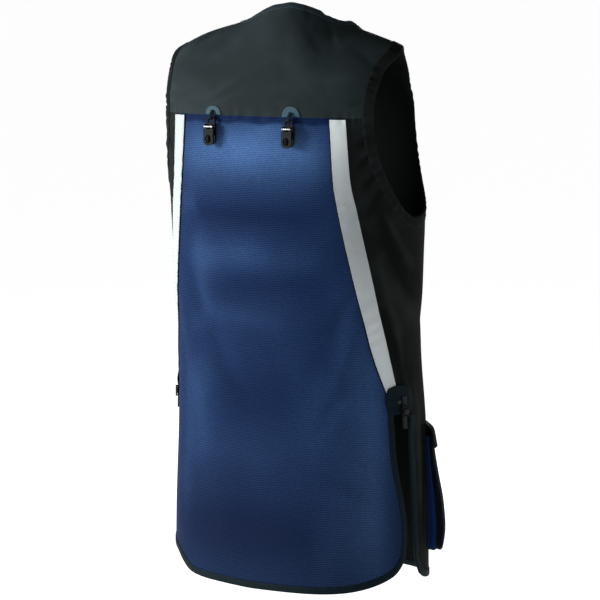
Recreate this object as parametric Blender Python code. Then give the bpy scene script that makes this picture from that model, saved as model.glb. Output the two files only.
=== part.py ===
"""Shooting vest with a mesh back, modelled hollow and filled out as if it were worn.

Units are metres and +Z is up. The origin is the middle of the shoulder line at the side of the neck.
The wearer faces -Y, so the back of the vest is at +Y and the wearer's right side is at -X.
A place on the cloth is a pair: the turn round the body in degrees from the middle of the back
(positive to the wearer's left), and the rise in metres along the cloth from the chest line.
"""
import math
from collections import namedtuple

import bpy
import bmesh
import numpy as np
from mathutils import Matrix, Vector

# The body of the vest
CHEST_LINE = -0.130
SHOULDER_BEND = 0.130
TOP_RISE = SHOULDER_BEND * math.pi / 2
NECK_SHIFT = -0.012
NECK_HALF_WIDTH = 0.078
NECK_BACK_DEPTH = 0.045

Section = namedtuple("Section", "height half_width back_depth front_depth squareness")
TORSO = (
    Section(-0.130, 0.1900, 0.0940, 0.1160, 2.50),
    Section(-0.250, 0.1820, 0.0980, 0.1310, 2.45),
    Section(-0.360, 0.1770, 0.0950, 0.1345, 2.40),
    Section(-0.430, 0.1735, 0.0903, 0.1340, 2.40),
    Section(-0.560, 0.1780, 0.0871, 0.1449, 2.40),
    Section(-0.680, 0.1820, 0.0897, 0.1465, 2.40),
    Section(-0.790, 0.1830, 0.0914, 0.1486, 2.40),
)
# Height of the shoulder line from the wearer's right to the left; the collar stands above it
Shoulder = namedtuple("Shoulder", "across height")
SHOULDER_LINE = (
    Shoulder(-0.200, -0.0560), Shoulder(-0.168, -0.0385), Shoulder(-0.150, -0.0315), Shoulder(-0.120, -0.0222),
    Shoulder(-0.106, -0.0178), Shoulder(-0.092, -0.0098), Shoulder(-0.080, 0.0010), Shoulder(-0.066, 0.0165),
    Shoulder(-0.048, 0.0295), Shoulder(-0.028, 0.0360), Shoulder(-0.008, 0.0335), Shoulder(0.006, 0.0275),
    Shoulder(0.022, 0.0170),
    Shoulder(0.045, 0.0015), Shoulder(0.066, -0.0080), Shoulder(0.096, -0.0155), Shoulder(0.126, -0.0240),
    Shoulder(0.150, -0.0335), Shoulder(0.170, -0.0430), Shoulder(0.200, -0.0560),
)

# In front the cloth falls away faster from the shoulder line beside the neck
FRONT_FALL = 0.8
FRONT_FALL_FROM = -0.020
FRONT_FALL_POWER = 12

# The largest folds of the back: length and width are half sizes, depth is outward, lean is in degrees
Fold = namedtuple("Fold", "turn rise length width depth lean")
FOLDS = (
    Fold(2, -0.100, 0.090, 0.045, 0.0040, 0),
    Fold(0, -0.138, 0.085, 0.022, -0.0040, 0),
    Fold(-14, -0.236, 0.075, 0.024, -0.0050, -4),
    Fold(-14, -0.520, 0.065, 0.050, -0.0040, 0),
    Fold(21, -0.280, 0.100, 0.016, -0.0045, 63),
    Fold(33, -0.330, 0.080, 0.022, 0.0035, 70),
    Fold(-46, -0.315, 0.060, 0.018, 0.0030, -66),
)
DEGREE_ARC = 0.0028

# Thicknesses and gaps
CLOTH = 0.0015
BAND = 0.0010
TAPE = 0.0010
SEAM_GAP = 0.0003
LAY_GAP = 0.0006
CURVED_LAY_GAP = 0.0009
INNER_GAP = 0.0008
SEAM_TURN = 0.08
SEAM_RISE = 0.00018

# Edges of the panels on one side, as places
Place = namedtuple("Place", "turn rise")
YOKE_SEAM = -0.001
ARMHOLE_BACK = (
    Place(63.6, TOP_RISE), Place(66.0, 0.172), Place(65.6, 0.140), Place(60.8, 0.104), Place(58.4, 0.070),
    Place(56.6, 0.036), Place(56.0, 0.006), Place(57.3, -0.022), Place(61.0, -0.050), Place(67.0, -0.078),
    Place(74.5, -0.103), Place(83.0, -0.124), Place(91.0, -0.1365),
)
ARMHOLE_FRONT = (
    Place(116.4, TOP_RISE), Place(126.5, 0.160), Place(135.5, 0.115), Place(139.2, 0.060),
    Place(138.5, 0.010), Place(137.0, -0.025), Place(133.0, -0.066), Place(126.0, -0.098),
    Place(115.0, -0.121), Place(103.0, -0.133), Place(91.0, -0.1365),
)
MESH_SEAM = (
    Place(36.4, YOKE_SEAM), Place(40.4, -0.082), Place(44.0, -0.120), Place(49.5, -0.170),
    Place(56.5, -0.235), Place(63.0, -0.287), Place(69.0, -0.340), Place(72.6, -0.378), Place(73.2, -0.400),
)
BACK_VENT = (
    Place(73.2, -0.400), Place(73.5, -0.430), Place(74.3, -0.458), Place(76.5, -0.485), Place(79.4, -0.513),
    Place(81.6, -0.541),
)
# The tail's corner and hem on the wearer's left (1) and right (-1); it hangs a little higher on the left
TAIL_CORNER = {
    1: (Place(82.1, -0.560), Place(81.2, -0.578)),
    -1: (Place(82.1, -0.566), Place(80.8, -0.590)),
}
BACK_HEM = {
    1: (Place(77.0, -0.588), Place(69.3, -0.5950), Place(60.0, -0.6005), Place(50.4, -0.6060),
        Place(43.0, -0.6160), Place(35.0, -0.6265), Place(26.0, -0.6310), Place(12.0, -0.6335),
        Place(0.0, -0.6360)),
    -1: (Place(77.0, -0.604), Place(69.3, -0.6160), Place(50.4, -0.6290), Place(30.0, -0.6350),
         Place(0.0, -0.6360)),
}
SIDE_SEAM = (Place(91.0, -0.1365), Place(90.0, -0.200), Place(89.0, -0.300), Place(88.3, -0.400))
FRONT_VENT = (
    Place(88.3, -0.400), Place(87.0, -0.425), Place(87.2, -0.462), Place(88.2, -0.516), Place(89.5, -0.571),
    Place(90.3, -0.600), Place(93.2, -0.6170),
)
FRONT_HEM = (Place(93.2, -0.6170), Place(99.0, -0.6245), Place(112.0, -0.6280), Place(150.0, -0.630))
VENT_TOP = -0.398
FRONT_HEM_RISE = -0.632
FRONT_HALF_GAP = 0.0062
NECK_POINT = -0.032
NeckEdge = namedtuple("NeckEdge", "shift out rise")
NECK_FRONT = (
    NeckEdge(1.0, NECK_HALF_WIDTH, TOP_RISE), NeckEdge(0.8, 0.072, 0.150), NeckEdge(0.5, 0.056, 0.090),
    NeckEdge(0.2, 0.034, 0.030), NeckEdge(0.0, FRONT_HALF_GAP, NECK_POINT),
)

# Grids: how many steps each panel's edges are cut into
YOKE_ROWS = 8
SHOULDER_STEPS = 4
NECK_STEPS = 12
MESH_COLUMNS = 20
MESH_ROWS = 16
VENT_ROWS = 9
SIDE_COLUMNS = 6
ARMHOLE_LOW_ROWS = 7
FRONT_COLUMNS = 10
FRONT_ARMHOLE_ROWS = 18
FRONT_SEAM_ROWS = 7
FRONT_VENT_ROWS = 7
NECK_FRONT_ROWS = 9

# Bands, tapes and patches
ARMHOLE_BAND_WIDTH = 0.013
BINDING_WIDTH = 0.008
INNER_LEAF = 0.0018
TAPE_INNER = (
    Place(32.2, -0.003), Place(35.8, -0.082), Place(38.5, -0.117), Place(42.8, -0.162), Place(49.2, -0.222),
    Place(56.0, -0.277), Place(62.5, -0.327), Place(70.0, -0.372),
)
TAPE_OUTER = (
    Place(40.5, -0.003), Place(45.0, -0.082), Place(49.5, -0.122), Place(56.2, -0.182), Place(63.8, -0.247),
    Place(70.5, -0.297), Place(77.5, -0.364),
)
TAPE_ROWS = 18
PATCH_LIFT = CLOTH + 2 * LAY_GAP + TAPE
PATCH_MIDDLE = Place(78.4, -0.3775)
PATCH_HALF = Place(10.4, 0.0195)
RIVET_PLACE = Place(77.6, -0.380)
RIVET_RADIUS = 0.0032
RIVET_HEIGHT = 0.0014
RIVET_TOP_RADIUS = 0.0019
PATCH_ROUNDING = 0.36

# Ladder buckle and strap of the adjuster, in its own frame: across, outward, up
Adjuster = namedtuple("Adjuster", "side name lift tail")
ADJUSTERS = (Adjuster(1, "left", 0.0125, 0.0005), Adjuster(-1, "right", 0.0076, 0.0010))
BUCKLE_PLACE = Place(81.3, -0.3935)
BUCKLE_WIDTH = 0.0140
BUCKLE_HEIGHT = 0.0150
BUCKLE_THICKNESS = 0.0016
SLOT_WIDTH = 0.0104
SLOT_HEIGHT = 0.0036
SLOT_MIDDLE = 0.0035
STRAP_WIDTH = 0.0090
STRAP_THICKNESS = 0.0010
STRAP_ABOVE = 0.0200
STRAP_BELOW = 0.0235

# Bellows pockets on the fronts
POCKET_REAR = 106.0
POCKET_FRONT = 159.0
POCKET_MOUTH = -0.436
POCKET_BOTTOM = -0.5935
POCKET_CORNER = Place(6.0, 0.018)
POCKET_WALL = 0.0012
PocketDepth = namedtuple("PocketDepth", "rise depth")
POCKET_DEPTH = (
    PocketDepth(-0.600, 0.0165), PocketDepth(-0.585, 0.0205), PocketDepth(-0.565, 0.0225),
    PocketDepth(-0.530, 0.0200), PocketDepth(-0.490, 0.0140), PocketDepth(-0.460, 0.0105),
    PocketDepth(-0.430, 0.0085),
)
POCKET_SIDE_ROWS = 8
POCKET_COLUMNS = 10
FlapRow = namedtuple("FlapRow", "rise lift")
FLAP = (
    FlapRow(-0.4200, CLOTH + LAY_GAP), FlapRow(-0.4235, 0.0060), FlapRow(-0.4290, 0.0105),
    FlapRow(-0.4370, 0.0119), FlapRow(-0.4530, 0.0127),
)
FLAP_SPARE_TURN = 1.2

# Zip at the centre front
ZIP_HALF_TAPE = 0.0140
ZIP_HALF_CHAIN = 0.0024
ZIP_CHAIN_LIFT = 0.0020
ZIP_BEHIND = 0.0009
ZIP_BOTTOM = -0.618
ZIP_ROWS = 20
SLIDER_RISE = -0.043
SLIDER_LIFT = 0.0024
SLIDER_HALF_LENGTH = 0.0050
SLIDER_HALF_WIDTH = 0.0042
SLIDER_NOSE_HALF_WIDTH = 0.0027
SLIDER_WAIST = 0.0010
SLIDER_THICKNESS = 0.0018
BAIL_OUT = 0.0046
BAIL_HALF_HEIGHT = 0.0042
BAIL_HALF_WIDTH = 0.0009
BAIL_WIRE = 0.0010
PULL_BAR_OUT = 0.0032
PULL_BAR_DOWN = -0.0015
PULL_TOP = 0.0007
PULL_BOTTOM = -0.0262
PULL_FOOT = 0.0034
PULL_HALF_WIDTH = 0.0028
PULL_HALF_THICKNESS = 0.0006
PULL_EYE_HALF_WIDTH = 0.0018
PULL_EYE_HEIGHT = 0.0044

# Hanging clips under the yoke seam; sizes from the bar of the eye, across, outward and up
CLIP_OUT = 0.062
TAB_HALF_WIDTH = 0.0110
TAB_HEIGHT = 0.0100
TAB_ROUNDING = 0.94
TAB_BOTTOM = 0.0004
CLIP_BAR_BELOW_SEAM = 0.0035
CLIP_BAR_LIFT = 0.0072
BAR_HALF = 0.0012
LOOP_INNER = 0.0020
LOOP_THICKNESS = 0.0010
LOOP_WIDTH = 0.0040
LOOP_TOP = 0.0105
EYE_HALF_WIDTH = 0.00675
EYE_SLOT_WIDTH = 0.0075
EYE_SLOT_HEIGHT = 0.0052
CLIP_HALF_WIDTH = 0.0080
CLIP_BOTTOM = -0.0355
CLIP_NECK = -0.0085
PIN_OUT = 0.0038
PIN_DOWN = -0.0115
PIN_RADIUS = 0.0011
PIN_BORE = 0.0014
CHEEK_RADIUS = 0.0026
CHEEK_INSIDE = 0.0062
ARM_RADIUS = 0.0021
ARM_INSIDE = 0.0036
ARM_OUTSIDE = 0.0059
LEVER_HALF_WIDTH = 0.0078
LEVER_BACK = 0.0004
LEVER_THICKNESS = 0.0025
LEVER_TOP = -0.0034
LEVER_BOTTOM = -0.0256
THUMB_HALF = (0.0047, 0.0057)
THUMB_DOWN = -0.0165
CUTTER_REACH = 0.0200

# Colours as linear red, green and blue, then roughness and metallic
Finish = namedtuple("Finish", "red green blue roughness metallic")
FINISHES = {
    "nylon": Finish(0.026, 0.036, 0.039, 0.45, 0.0),
    "mesh": Finish(0.030, 0.070, 0.180, 0.75, 0.0),
    "binding": Finish(0.008, 0.020, 0.028, 0.60, 0.0),
    "tape": Finish(0.420, 0.460, 0.480, 0.50, 0.0),
    "bellows": Finish(0.010, 0.040, 0.160, 0.60, 0.0),
    "plastic": Finish(0.010, 0.012, 0.013, 0.35, 0.0),
    "steel": Finish(0.600, 0.600, 0.600, 0.25, 1.0),
    "zip": Finish(0.010, 0.012, 0.014, 0.50, 0.0),
}


def clear_scene():
    """Remove every object, so that the file holds the vest alone."""
    for thing in list(bpy.data.objects):
        bpy.data.objects.remove(thing, do_unlink=True)


def material(name):
    """The material called name, made from its row of the finishes once."""
    found = bpy.data.materials.get(name)
    if found:
        return found
    made = bpy.data.materials.new(name)
    made.use_nodes = True
    finish = FINISHES[name]
    shader = made.node_tree.nodes["Principled BSDF"]
    shader.inputs["Base Color"].default_value = (finish.red, finish.green, finish.blue, 1.0)
    shader.inputs["Roughness"].default_value = finish.roughness
    shader.inputs["Metallic"].default_value = finish.metallic
    made.diffuse_color = (finish.red, finish.green, finish.blue, 1.0)
    return made


def through(where, table, column):
    """Read one column of a table by a monotone cubic through its rows, keyed by their first column."""
    rows = sorted(table)
    keys = np.array([row[0] for row in rows], float)
    values = np.array([getattr(row, column) for row in rows], float)
    gaps = np.diff(keys)
    slopes = np.diff(values) / gaps
    tangents = np.zeros(len(keys))
    tangents[0] = slopes[0]
    tangents[-1] = slopes[-1]
    for k in range(1, len(keys) - 1):
        if slopes[k - 1] * slopes[k] > 0:
            near = 2 * gaps[k] + gaps[k - 1]
            far = gaps[k] + 2 * gaps[k - 1]
            tangents[k] = (near + far) / (near / slopes[k - 1] + far / slopes[k])
    where = np.clip(np.asarray(where, float), keys[0], keys[-1])
    k = np.clip(np.searchsorted(keys, where) - 1, 0, len(keys) - 2)
    s = (where - keys[k]) / gaps[k]
    start = (1 + 2 * s) * (1 - s) ** 2 * values[k] + s * (1 - s) ** 2 * gaps[k] * tangents[k]
    end = s * s * (3 - 2 * s) * values[k + 1] + s * s * (s - 1) * gaps[k] * tangents[k + 1]
    return start + end


def body_point(turn, rise):
    """Smooth worn form of the vest at a place, without folds."""
    turn, rise = np.broadcast_arrays(np.asarray(turn, float), np.asarray(rise, float))
    angle = np.radians(np.abs(turn))
    height = CHEST_LINE + np.minimum(rise, 0)
    half_width = through(height, TORSO, "half_width")
    back = through(height, TORSO, "back_depth")
    front = through(height, TORSO, "front_depth")
    power = 2 / through(height, TORSO, "squareness")
    middle = (back - front) / 2
    x = np.sign(turn) * half_width * np.sign(np.sin(angle)) * np.abs(np.sin(angle)) ** power
    y = middle + (back + front) / 2 * np.sign(np.cos(angle)) * np.abs(np.cos(angle)) ** power
    bend = np.clip(rise / SHOULDER_BEND, 0, math.pi / 2)
    ridge = through(x, SHOULDER_LINE, "height")
    fall = FRONT_FALL * np.maximum(ridge - FRONT_FALL_FROM, 0) * (1 - np.sin(bend) ** FRONT_FALL_POWER)
    ridge = np.where(angle > math.pi / 2, ridge - fall, ridge)
    z = height + (ridge - CHEST_LINE) * np.sin(bend)
    return np.stack([x, y * np.cos(bend), z], -1)


def slopes_at(turn, rise):
    """How the body point moves for a degree of turn and for a metre of rise."""
    small_turn, small_rise = 0.05, 0.0005
    rise = np.minimum(rise, TOP_RISE - small_rise)
    by_turn = (body_point(turn + small_turn, rise) - body_point(turn - small_turn, rise)) / (2 * small_turn)
    by_rise = (body_point(turn, rise + small_rise) - body_point(turn, rise)) / small_rise
    return by_turn, by_rise


def outward(turn, rise):
    """Unit direction out of the cloth."""
    by_turn, by_rise = slopes_at(turn, rise)
    normal = np.cross(by_rise, by_turn)
    return normal / np.linalg.norm(normal, axis=-1, keepdims=True)


def fold_height(turn, rise):
    """How far the folds push the cloth out at a place."""
    total = np.zeros(np.broadcast(turn, rise).shape)
    for fold in FOLDS:
        right = (turn - fold.turn) * DEGREE_ARC
        up = rise - fold.rise
        lean = math.radians(fold.lean)
        along = right * math.cos(lean) + up * math.sin(lean)
        across = up * math.cos(lean) - right * math.sin(lean)
        total = total + fold.depth * np.exp(-(across / fold.width) ** 2 - (along / fold.length) ** 4)
    return total


def cloth_point(places, lift):
    """Points of the cloth at an array of places, lifted out of its inner face."""
    turn, rise = places[..., 0], places[..., 1]
    height = fold_height(turn, rise) + lift
    return body_point(turn, rise) + outward(turn, rise) * height[..., None]


def turn_at(x, rise, front=False):
    """The turn at which the vest reaches a distance x from its middle plane."""
    height = CHEST_LINE + min(rise, 0)
    half_width = float(through(height, TORSO, "half_width"))
    squareness = float(through(height, TORSO, "squareness"))
    angle = math.degrees(math.asin(min(1.0, abs(x) / half_width) ** (squareness / 2)))
    if front:
        angle = 180 - angle
    return math.copysign(angle, x)


def curve(places, count=24):
    """A fine smooth line through the places, as a Catmull-Rom curve."""
    knots = np.array(places, float)
    knots = np.vstack([2 * knots[0] - knots[1], knots, 2 * knots[-1] - knots[-2]])
    line = []
    for k in range(1, len(knots) - 2):
        for s in np.arange(count) / count:
            a, b, c, d = knots[k - 1:k + 3]
            line.append(0.5 * (2 * b + (c - a) * s + (2 * a - 5 * b + 4 * c - d) * s ** 2
                               + (3 * b - a - 3 * c + d) * s ** 3))
    line.append(knots[-2])
    return np.array(line)


def even(line, steps):
    """Cut a line of places into equal lengths, measured on the cloth."""
    line = np.array(line, float)
    points = body_point(line[:, 0], line[:, 1])
    run = np.concatenate([[0], np.cumsum(np.linalg.norm(np.diff(points, axis=0), axis=1))])
    wanted = np.linspace(0, run[-1], steps + 1)
    return np.stack([np.interp(wanted, run, line[:, 0]), np.interp(wanted, run, line[:, 1])], -1)


def level(start, end, rise, steps):
    """An evenly cut line at one rise."""
    turns = np.linspace(start, end, 200)
    return even(np.stack([turns, np.full(len(turns), rise)], -1), steps)


def on_side(line, side):
    """The same line on the wearer's left (1) or right (-1)."""
    return np.array(line, float) * np.array([side, 1.0])


def nudged(line, turn=0.0, rise=0.0):
    """A line moved by a small turn and rise, to leave half a seam's gap."""
    return line + np.array([turn, rise])


def patch(top, bottom, first, last):
    """Places between four border lines; rows run from top to bottom, columns from first to last."""
    rows, columns = len(first), len(top)
    s = np.linspace(0, 1, columns)[None, :, None]
    t = np.linspace(0, 1, rows)[:, None, None]
    ruled = (1 - t) * top[None] + t * bottom[None] + (1 - s) * first[:, None] + s * last[:, None]
    corners = ((1 - t) * ((1 - s) * top[0] + s * top[-1]) + t * ((1 - s) * bottom[0] + s * bottom[-1]))
    return ruled - corners


def new_object(name, mesh_data, finish, smooth=True):
    """Finish a bmesh as a named object with faces out and its own material."""
    bmesh.ops.recalc_face_normals(mesh_data, faces=mesh_data.faces)
    mesh = bpy.data.meshes.new(name)
    mesh_data.to_mesh(mesh)
    mesh_data.free()
    if smooth:
        mesh.shade_smooth()
        mesh.set_sharp_from_angle(angle=math.radians(40))
    made = bpy.data.objects.new(name, mesh)
    made.data.materials.append(material(finish))
    bpy.context.scene.collection.objects.link(made)
    return made


def wall(name, places, finish, inner=0.0, outer=CLOTH):
    """A closed cloth wall on a grid of places, between an inner and an outer lift."""
    shape = places.shape[:2]
    inner = np.broadcast_to(np.asarray(inner, float), shape)
    outer = np.broadcast_to(np.asarray(outer, float), shape)
    rows, columns = shape
    mesh_data = bmesh.new()
    inside = [mesh_data.verts.new(p) for p in cloth_point(places, inner).reshape(-1, 3)]
    outside = [mesh_data.verts.new(p) for p in cloth_point(places, outer).reshape(-1, 3)]
    for i in range(rows - 1):
        for j in range(columns - 1):
            ring = (i * columns + j, i * columns + j + 1, (i + 1) * columns + j + 1, (i + 1) * columns + j)
            mesh_data.faces.new([outside[k] for k in ring])
            mesh_data.faces.new([inside[k] for k in reversed(ring)])
    border = [j for j in range(columns)]
    border += [i * columns + columns - 1 for i in range(1, rows)]
    border += [(rows - 1) * columns + j for j in range(columns - 2, -1, -1)]
    border += [i * columns for i in range(rows - 2, 0, -1)]
    for k, here in enumerate(border):
        after = border[(k + 1) % len(border)]
        mesh_data.faces.new((inside[here], inside[after], outside[after], outside[here]))
    return new_object(name, mesh_data, finish)


def swept(name, rings, finish, closed):
    """A closed body through equal rings of points; its ends are capped unless it closes on itself."""
    mesh_data = bmesh.new()
    loops = [[mesh_data.verts.new(p) for p in ring] for ring in rings]
    count = len(loops[0])
    last = len(loops) if closed else len(loops) - 1
    for i in range(last):
        here, after = loops[i], loops[(i + 1) % len(loops)]
        for j in range(count):
            k = (j + 1) % count
            mesh_data.faces.new((here[j], here[k], after[k], after[j]))
    if not closed:
        mesh_data.faces.new(loops[0])
        mesh_data.faces.new(list(reversed(loops[-1])))
        mesh_data.normal_update()
        bmesh.ops.triangulate(mesh_data, faces=[f for f in mesh_data.faces if len(f.verts) > 4])
    return new_object(name, mesh_data, finish)


def inward_steps(line, closed, hand):
    """For each place of an edge, the change of turn and rise for a metre into the panel."""
    points = body_point(line[:, 0], line[:, 1])
    if closed:
        along = np.roll(points, -1, axis=0) - np.roll(points, 1, axis=0)
    else:
        along = np.gradient(points, axis=0)
    into = hand * np.cross(outward(line[:, 0], line[:, 1]), along)
    into /= np.linalg.norm(into, axis=1, keepdims=True)
    by_turn, by_rise = slopes_at(line[:, 0], line[:, 1])
    steps = []
    for k in range(len(line)):
        system = np.stack([by_turn[k], by_rise[k]], -1)
        steps.append(np.linalg.lstsq(system, into[k], rcond=None)[0])
    return np.array(steps)


def edge_band(name, line, finish, reach, closed=False, hand=1, lay=LAY_GAP):
    """A band folded over a panel's edge: an outer leaf, the fold, and a short inner leaf."""
    steps = inward_steps(line, closed, hand)
    top, over = CLOTH + lay, CLOTH + lay + BAND
    profile = (
        (reach, top), (-SEAM_GAP, top), (-SEAM_GAP, -INNER_GAP), (INNER_LEAF, -INNER_GAP),
        (INNER_LEAF, -INNER_GAP - BAND), (-SEAM_GAP - BAND, -INNER_GAP - BAND), (-SEAM_GAP - BAND, over),
        (reach, over),
    )
    rings = []
    for place, step in zip(line, steps):
        ring = [place + step * into for into, _ in profile]
        lifts = np.array([lift for _, lift in profile])
        rings.append(cloth_point(np.array(ring), lifts))
    return swept(name, rings, finish, closed)


class VestEdges:
    """The shared edge lines of one side, cut once so that panels and bands use the same places."""

    def __init__(self, side):
        self.side = side
        back = curve(ARMHOLE_BACK)
        split = int(np.argmax(back[:, 1] < YOKE_SEAM))
        seam_place = back[split - 1:split].copy()
        seam_place[0, 1] = YOKE_SEAM
        self.armhole_high = on_side(even(np.vstack([back[:split], seam_place]), YOKE_ROWS), side)
        self.armhole_low = on_side(even(np.vstack([seam_place, back[split:]]), ARMHOLE_LOW_ROWS), side)
        self.armhole_front = on_side(even(curve(ARMHOLE_FRONT), FRONT_ARMHOLE_ROWS), side)
        self.mesh_seam = on_side(even(curve(MESH_SEAM), MESH_ROWS), side)
        corner = TAIL_CORNER[side]
        self.back_vent = on_side(even(curve(BACK_VENT + corner), VENT_ROWS), side)
        self.back_hem = on_side(even(curve(corner[-1:] + BACK_HEM[side]), MESH_COLUMNS // 2), side)
        side_seam = curve(SIDE_SEAM)
        self.side_seam_back = on_side(even(side_seam, MESH_ROWS - ARMHOLE_LOW_ROWS), side)
        self.side_seam_front = on_side(even(side_seam, FRONT_SEAM_ROWS), side)
        self.front_vent = on_side(even(curve(FRONT_VENT), FRONT_VENT_ROWS), side)
        hem = FRONT_HEM + (Place(turn_at(FRONT_HALF_GAP, FRONT_HEM_RISE, True), FRONT_HEM_RISE),)
        self.front_hem = on_side(even(curve(hem), FRONT_COLUMNS), side)
        neck = [(turn_at(NECK_SHIFT * row.shift + side * row.out, row.rise, True), row.rise)
                for row in NECK_FRONT]
        self.neck_front = even(curve(neck), NECK_FRONT_ROWS)
        rises = np.linspace(NECK_POINT, FRONT_HEM_RISE, 200)
        centre = [(turn_at(side * FRONT_HALF_GAP, rise, True), rise) for rise in rises]
        rows = FRONT_ARMHOLE_ROWS + FRONT_SEAM_ROWS + FRONT_VENT_ROWS - NECK_FRONT_ROWS
        self.centre_front = even(centre, rows)

    def neck_side(self, front):
        """The turn of the neck's side point on the shoulder seam."""
        return turn_at(NECK_SHIFT + self.side * NECK_HALF_WIDTH, TOP_RISE, front)


def back_neck_line(left, right):
    """The neck's edge on the yoke, from the wearer's left to the right, as a flat oval seen from above."""
    places = []
    for s in np.linspace(0, math.pi, 121):
        x = NECK_SHIFT + NECK_HALF_WIDTH * math.cos(s)
        turn = turn_at(x, 0.0)
        depth = float(body_point(turn, 0.0)[1])
        rise = SHOULDER_BEND * math.acos(NECK_BACK_DEPTH * math.sin(s) / depth)
        places.append((turn, rise))
    places[0] = (left.neck_side(False), TOP_RISE)
    places[-1] = (right.neck_side(False), TOP_RISE)
    return even(places, NECK_STEPS)


def join(*lines):
    """Lines one after another, with the shared end places kept once."""
    kept = [lines[0]]
    for line in lines[1:]:
        kept.append(line[1:])
    return np.vstack(kept)


def make_yoke(left, right, neck):
    """The back yoke, from the shoulder seams and neck down to its seam over the mesh."""
    high = nudged(level(left.armhole_high[0, 0], neck[0, 0], TOP_RISE, SHOULDER_STEPS), rise=-SEAM_RISE)
    low = nudged(level(neck[-1, 0], right.armhole_high[0, 0], TOP_RISE, SHOULDER_STEPS), rise=-SEAM_RISE)
    top = join(high, nudged(neck, rise=-SEAM_RISE), low)
    bottom = level(left.armhole_high[-1, 0], right.armhole_high[-1, 0], YOKE_SEAM + SEAM_RISE, len(top) - 1)
    first, last = left.armhole_high.copy(), right.armhole_high.copy()
    first[0], last[0] = top[0], top[-1]
    first[-1], last[-1] = bottom[0], bottom[-1]
    wall("back_yoke", patch(top, bottom, first, last), "nylon")
    return top


def make_mesh_panel(left, right):
    """The mesh back panel, from the yoke seam to the rounded hem, with its largest folds."""
    top = level(left.mesh_seam[0, 0] - SEAM_TURN, right.mesh_seam[0, 0] + SEAM_TURN,
                YOKE_SEAM - SEAM_RISE, MESH_COLUMNS)
    borders = []
    for edges in (left, right):
        seam = nudged(edges.mesh_seam, turn=-edges.side * SEAM_TURN)
        vent = nudged(edges.back_vent, turn=-edges.side * SEAM_TURN)
        borders.append(join(seam, vent))
    borders[0][0], borders[1][0] = top[0], top[-1]
    bottom = join(left.back_hem, right.back_hem[::-1])
    bottom[0], bottom[-1] = borders[0][-1], borders[1][-1]
    wall("back_mesh_panel", patch(top, bottom, borders[0], borders[1]), "mesh")
    path = join(borders[0][MESH_ROWS + 1:], bottom, borders[1][MESH_ROWS + 1:][::-1])
    edge_band("back_hem_binding", path, "binding", BINDING_WIDTH)


def make_side_panel(edges, name):
    """One black side panel, between the tape, the armhole and the side seam."""
    side = edges.side
    first = nudged(edges.mesh_seam, turn=side * SEAM_TURN)
    seam = nudged(edges.side_seam_back, turn=-side * SEAM_TURN)
    last = join(edges.armhole_low, seam)
    last[ARMHOLE_LOW_ROWS] = seam[0]
    top = level(first[0, 0], last[0, 0], YOKE_SEAM - SEAM_RISE, SIDE_COLUMNS)
    first[-1, 1] = last[-1, 1] = VENT_TOP
    bottom = level(first[-1, 0], last[-1, 0], VENT_TOP, SIDE_COLUMNS)
    first[0], last[0] = top[0], top[-1]
    wall("back_side_panel_" + name, patch(top, bottom, first, last), "nylon")


def make_front_panel(edges, name):
    """One front, from the shoulder seam to the hem, with the armhole, the neck and its half of the vent."""
    side = edges.side
    seam = nudged(edges.side_seam_front, turn=side * SEAM_TURN)
    vent = nudged(edges.front_vent, turn=side * SEAM_TURN)
    first = join(edges.armhole_front, seam, vent)
    first[FRONT_ARMHOLE_ROWS] = seam[0]
    last = join(edges.neck_front, edges.centre_front)
    top = level(first[0, 0], last[0, 0], TOP_RISE - SEAM_RISE, FRONT_COLUMNS)
    bottom = edges.front_hem.copy()
    first[0], last[0] = top[0], top[-1]
    bottom[0], bottom[-1] = first[-1], last[-1]
    wall("front_panel_" + name, patch(top, bottom, first, last), "nylon")
    vent_start = FRONT_ARMHOLE_ROWS + FRONT_SEAM_ROWS
    path = join(first[vent_start:], bottom)
    edge_band("front_hem_binding_" + name, path, "binding", BINDING_WIDTH, hand=-side)


def make_neck_binding(left, right, neck):
    """The binding round the neck and down both edges of the V."""
    path = join(left.neck_front[::-1][1:], neck, right.neck_front[:-1])
    edge_band("neck_binding", path, "binding", BINDING_WIDTH, hand=-1, lay=CURVED_LAY_GAP)


def make_armhole_band(edges, name):
    """The wide turned band round one armhole."""
    path = join(edges.armhole_high, edges.armhole_low, edges.armhole_front[::-1])[:-1]
    edge_band("armhole_band_" + name, path, "nylon", ARMHOLE_BAND_WIDTH, closed=True, hand=edges.side,
              lay=CURVED_LAY_GAP)


def make_tape(edges, name):
    """The pale tape over the seam between the mesh and a side panel."""
    inner = on_side(even(curve(TAPE_INNER), TAPE_ROWS), edges.side)
    outer = on_side(even(curve(TAPE_OUTER), TAPE_ROWS), edges.side)
    places = np.stack([inner, (inner + outer) / 2, outer], 1)
    wall("back_tape_" + name, places, "tape", CLOTH + LAY_GAP, CLOTH + LAY_GAP + TAPE)


def rounded_grid(middle, half, steps):
    """A grid of places that fills a rounded shape: the square's grid pulled in to a soft oval."""
    u, v = np.meshgrid(np.linspace(-1, 1, steps + 1), np.linspace(1, -1, steps + 1))
    turn = middle.turn + half.turn * u * np.sqrt(1 - PATCH_ROUNDING * v ** 2)
    rise = middle.rise + half.rise * v * np.sqrt(1 - PATCH_ROUNDING * u ** 2)
    return np.stack([turn, rise], -1)


def local_frame(turn, rise, lift, upright=True):
    """A matrix at a place: across the cloth, outward, and up, either plumb or along the cloth."""
    place = np.array([turn, rise], float)
    origin = Vector(cloth_point(place, np.array(lift)))
    out = Vector(outward(place[0], place[1]))
    up = Vector((0.0, 0.0, 1.0))
    if upright:
        out.z = 0.0
    out.normalize()
    across = out.cross(up).normalized()
    up = across.cross(out)
    frame = Matrix((across, out, up)).transposed().to_4x4()
    frame.translation = origin
    return frame


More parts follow.
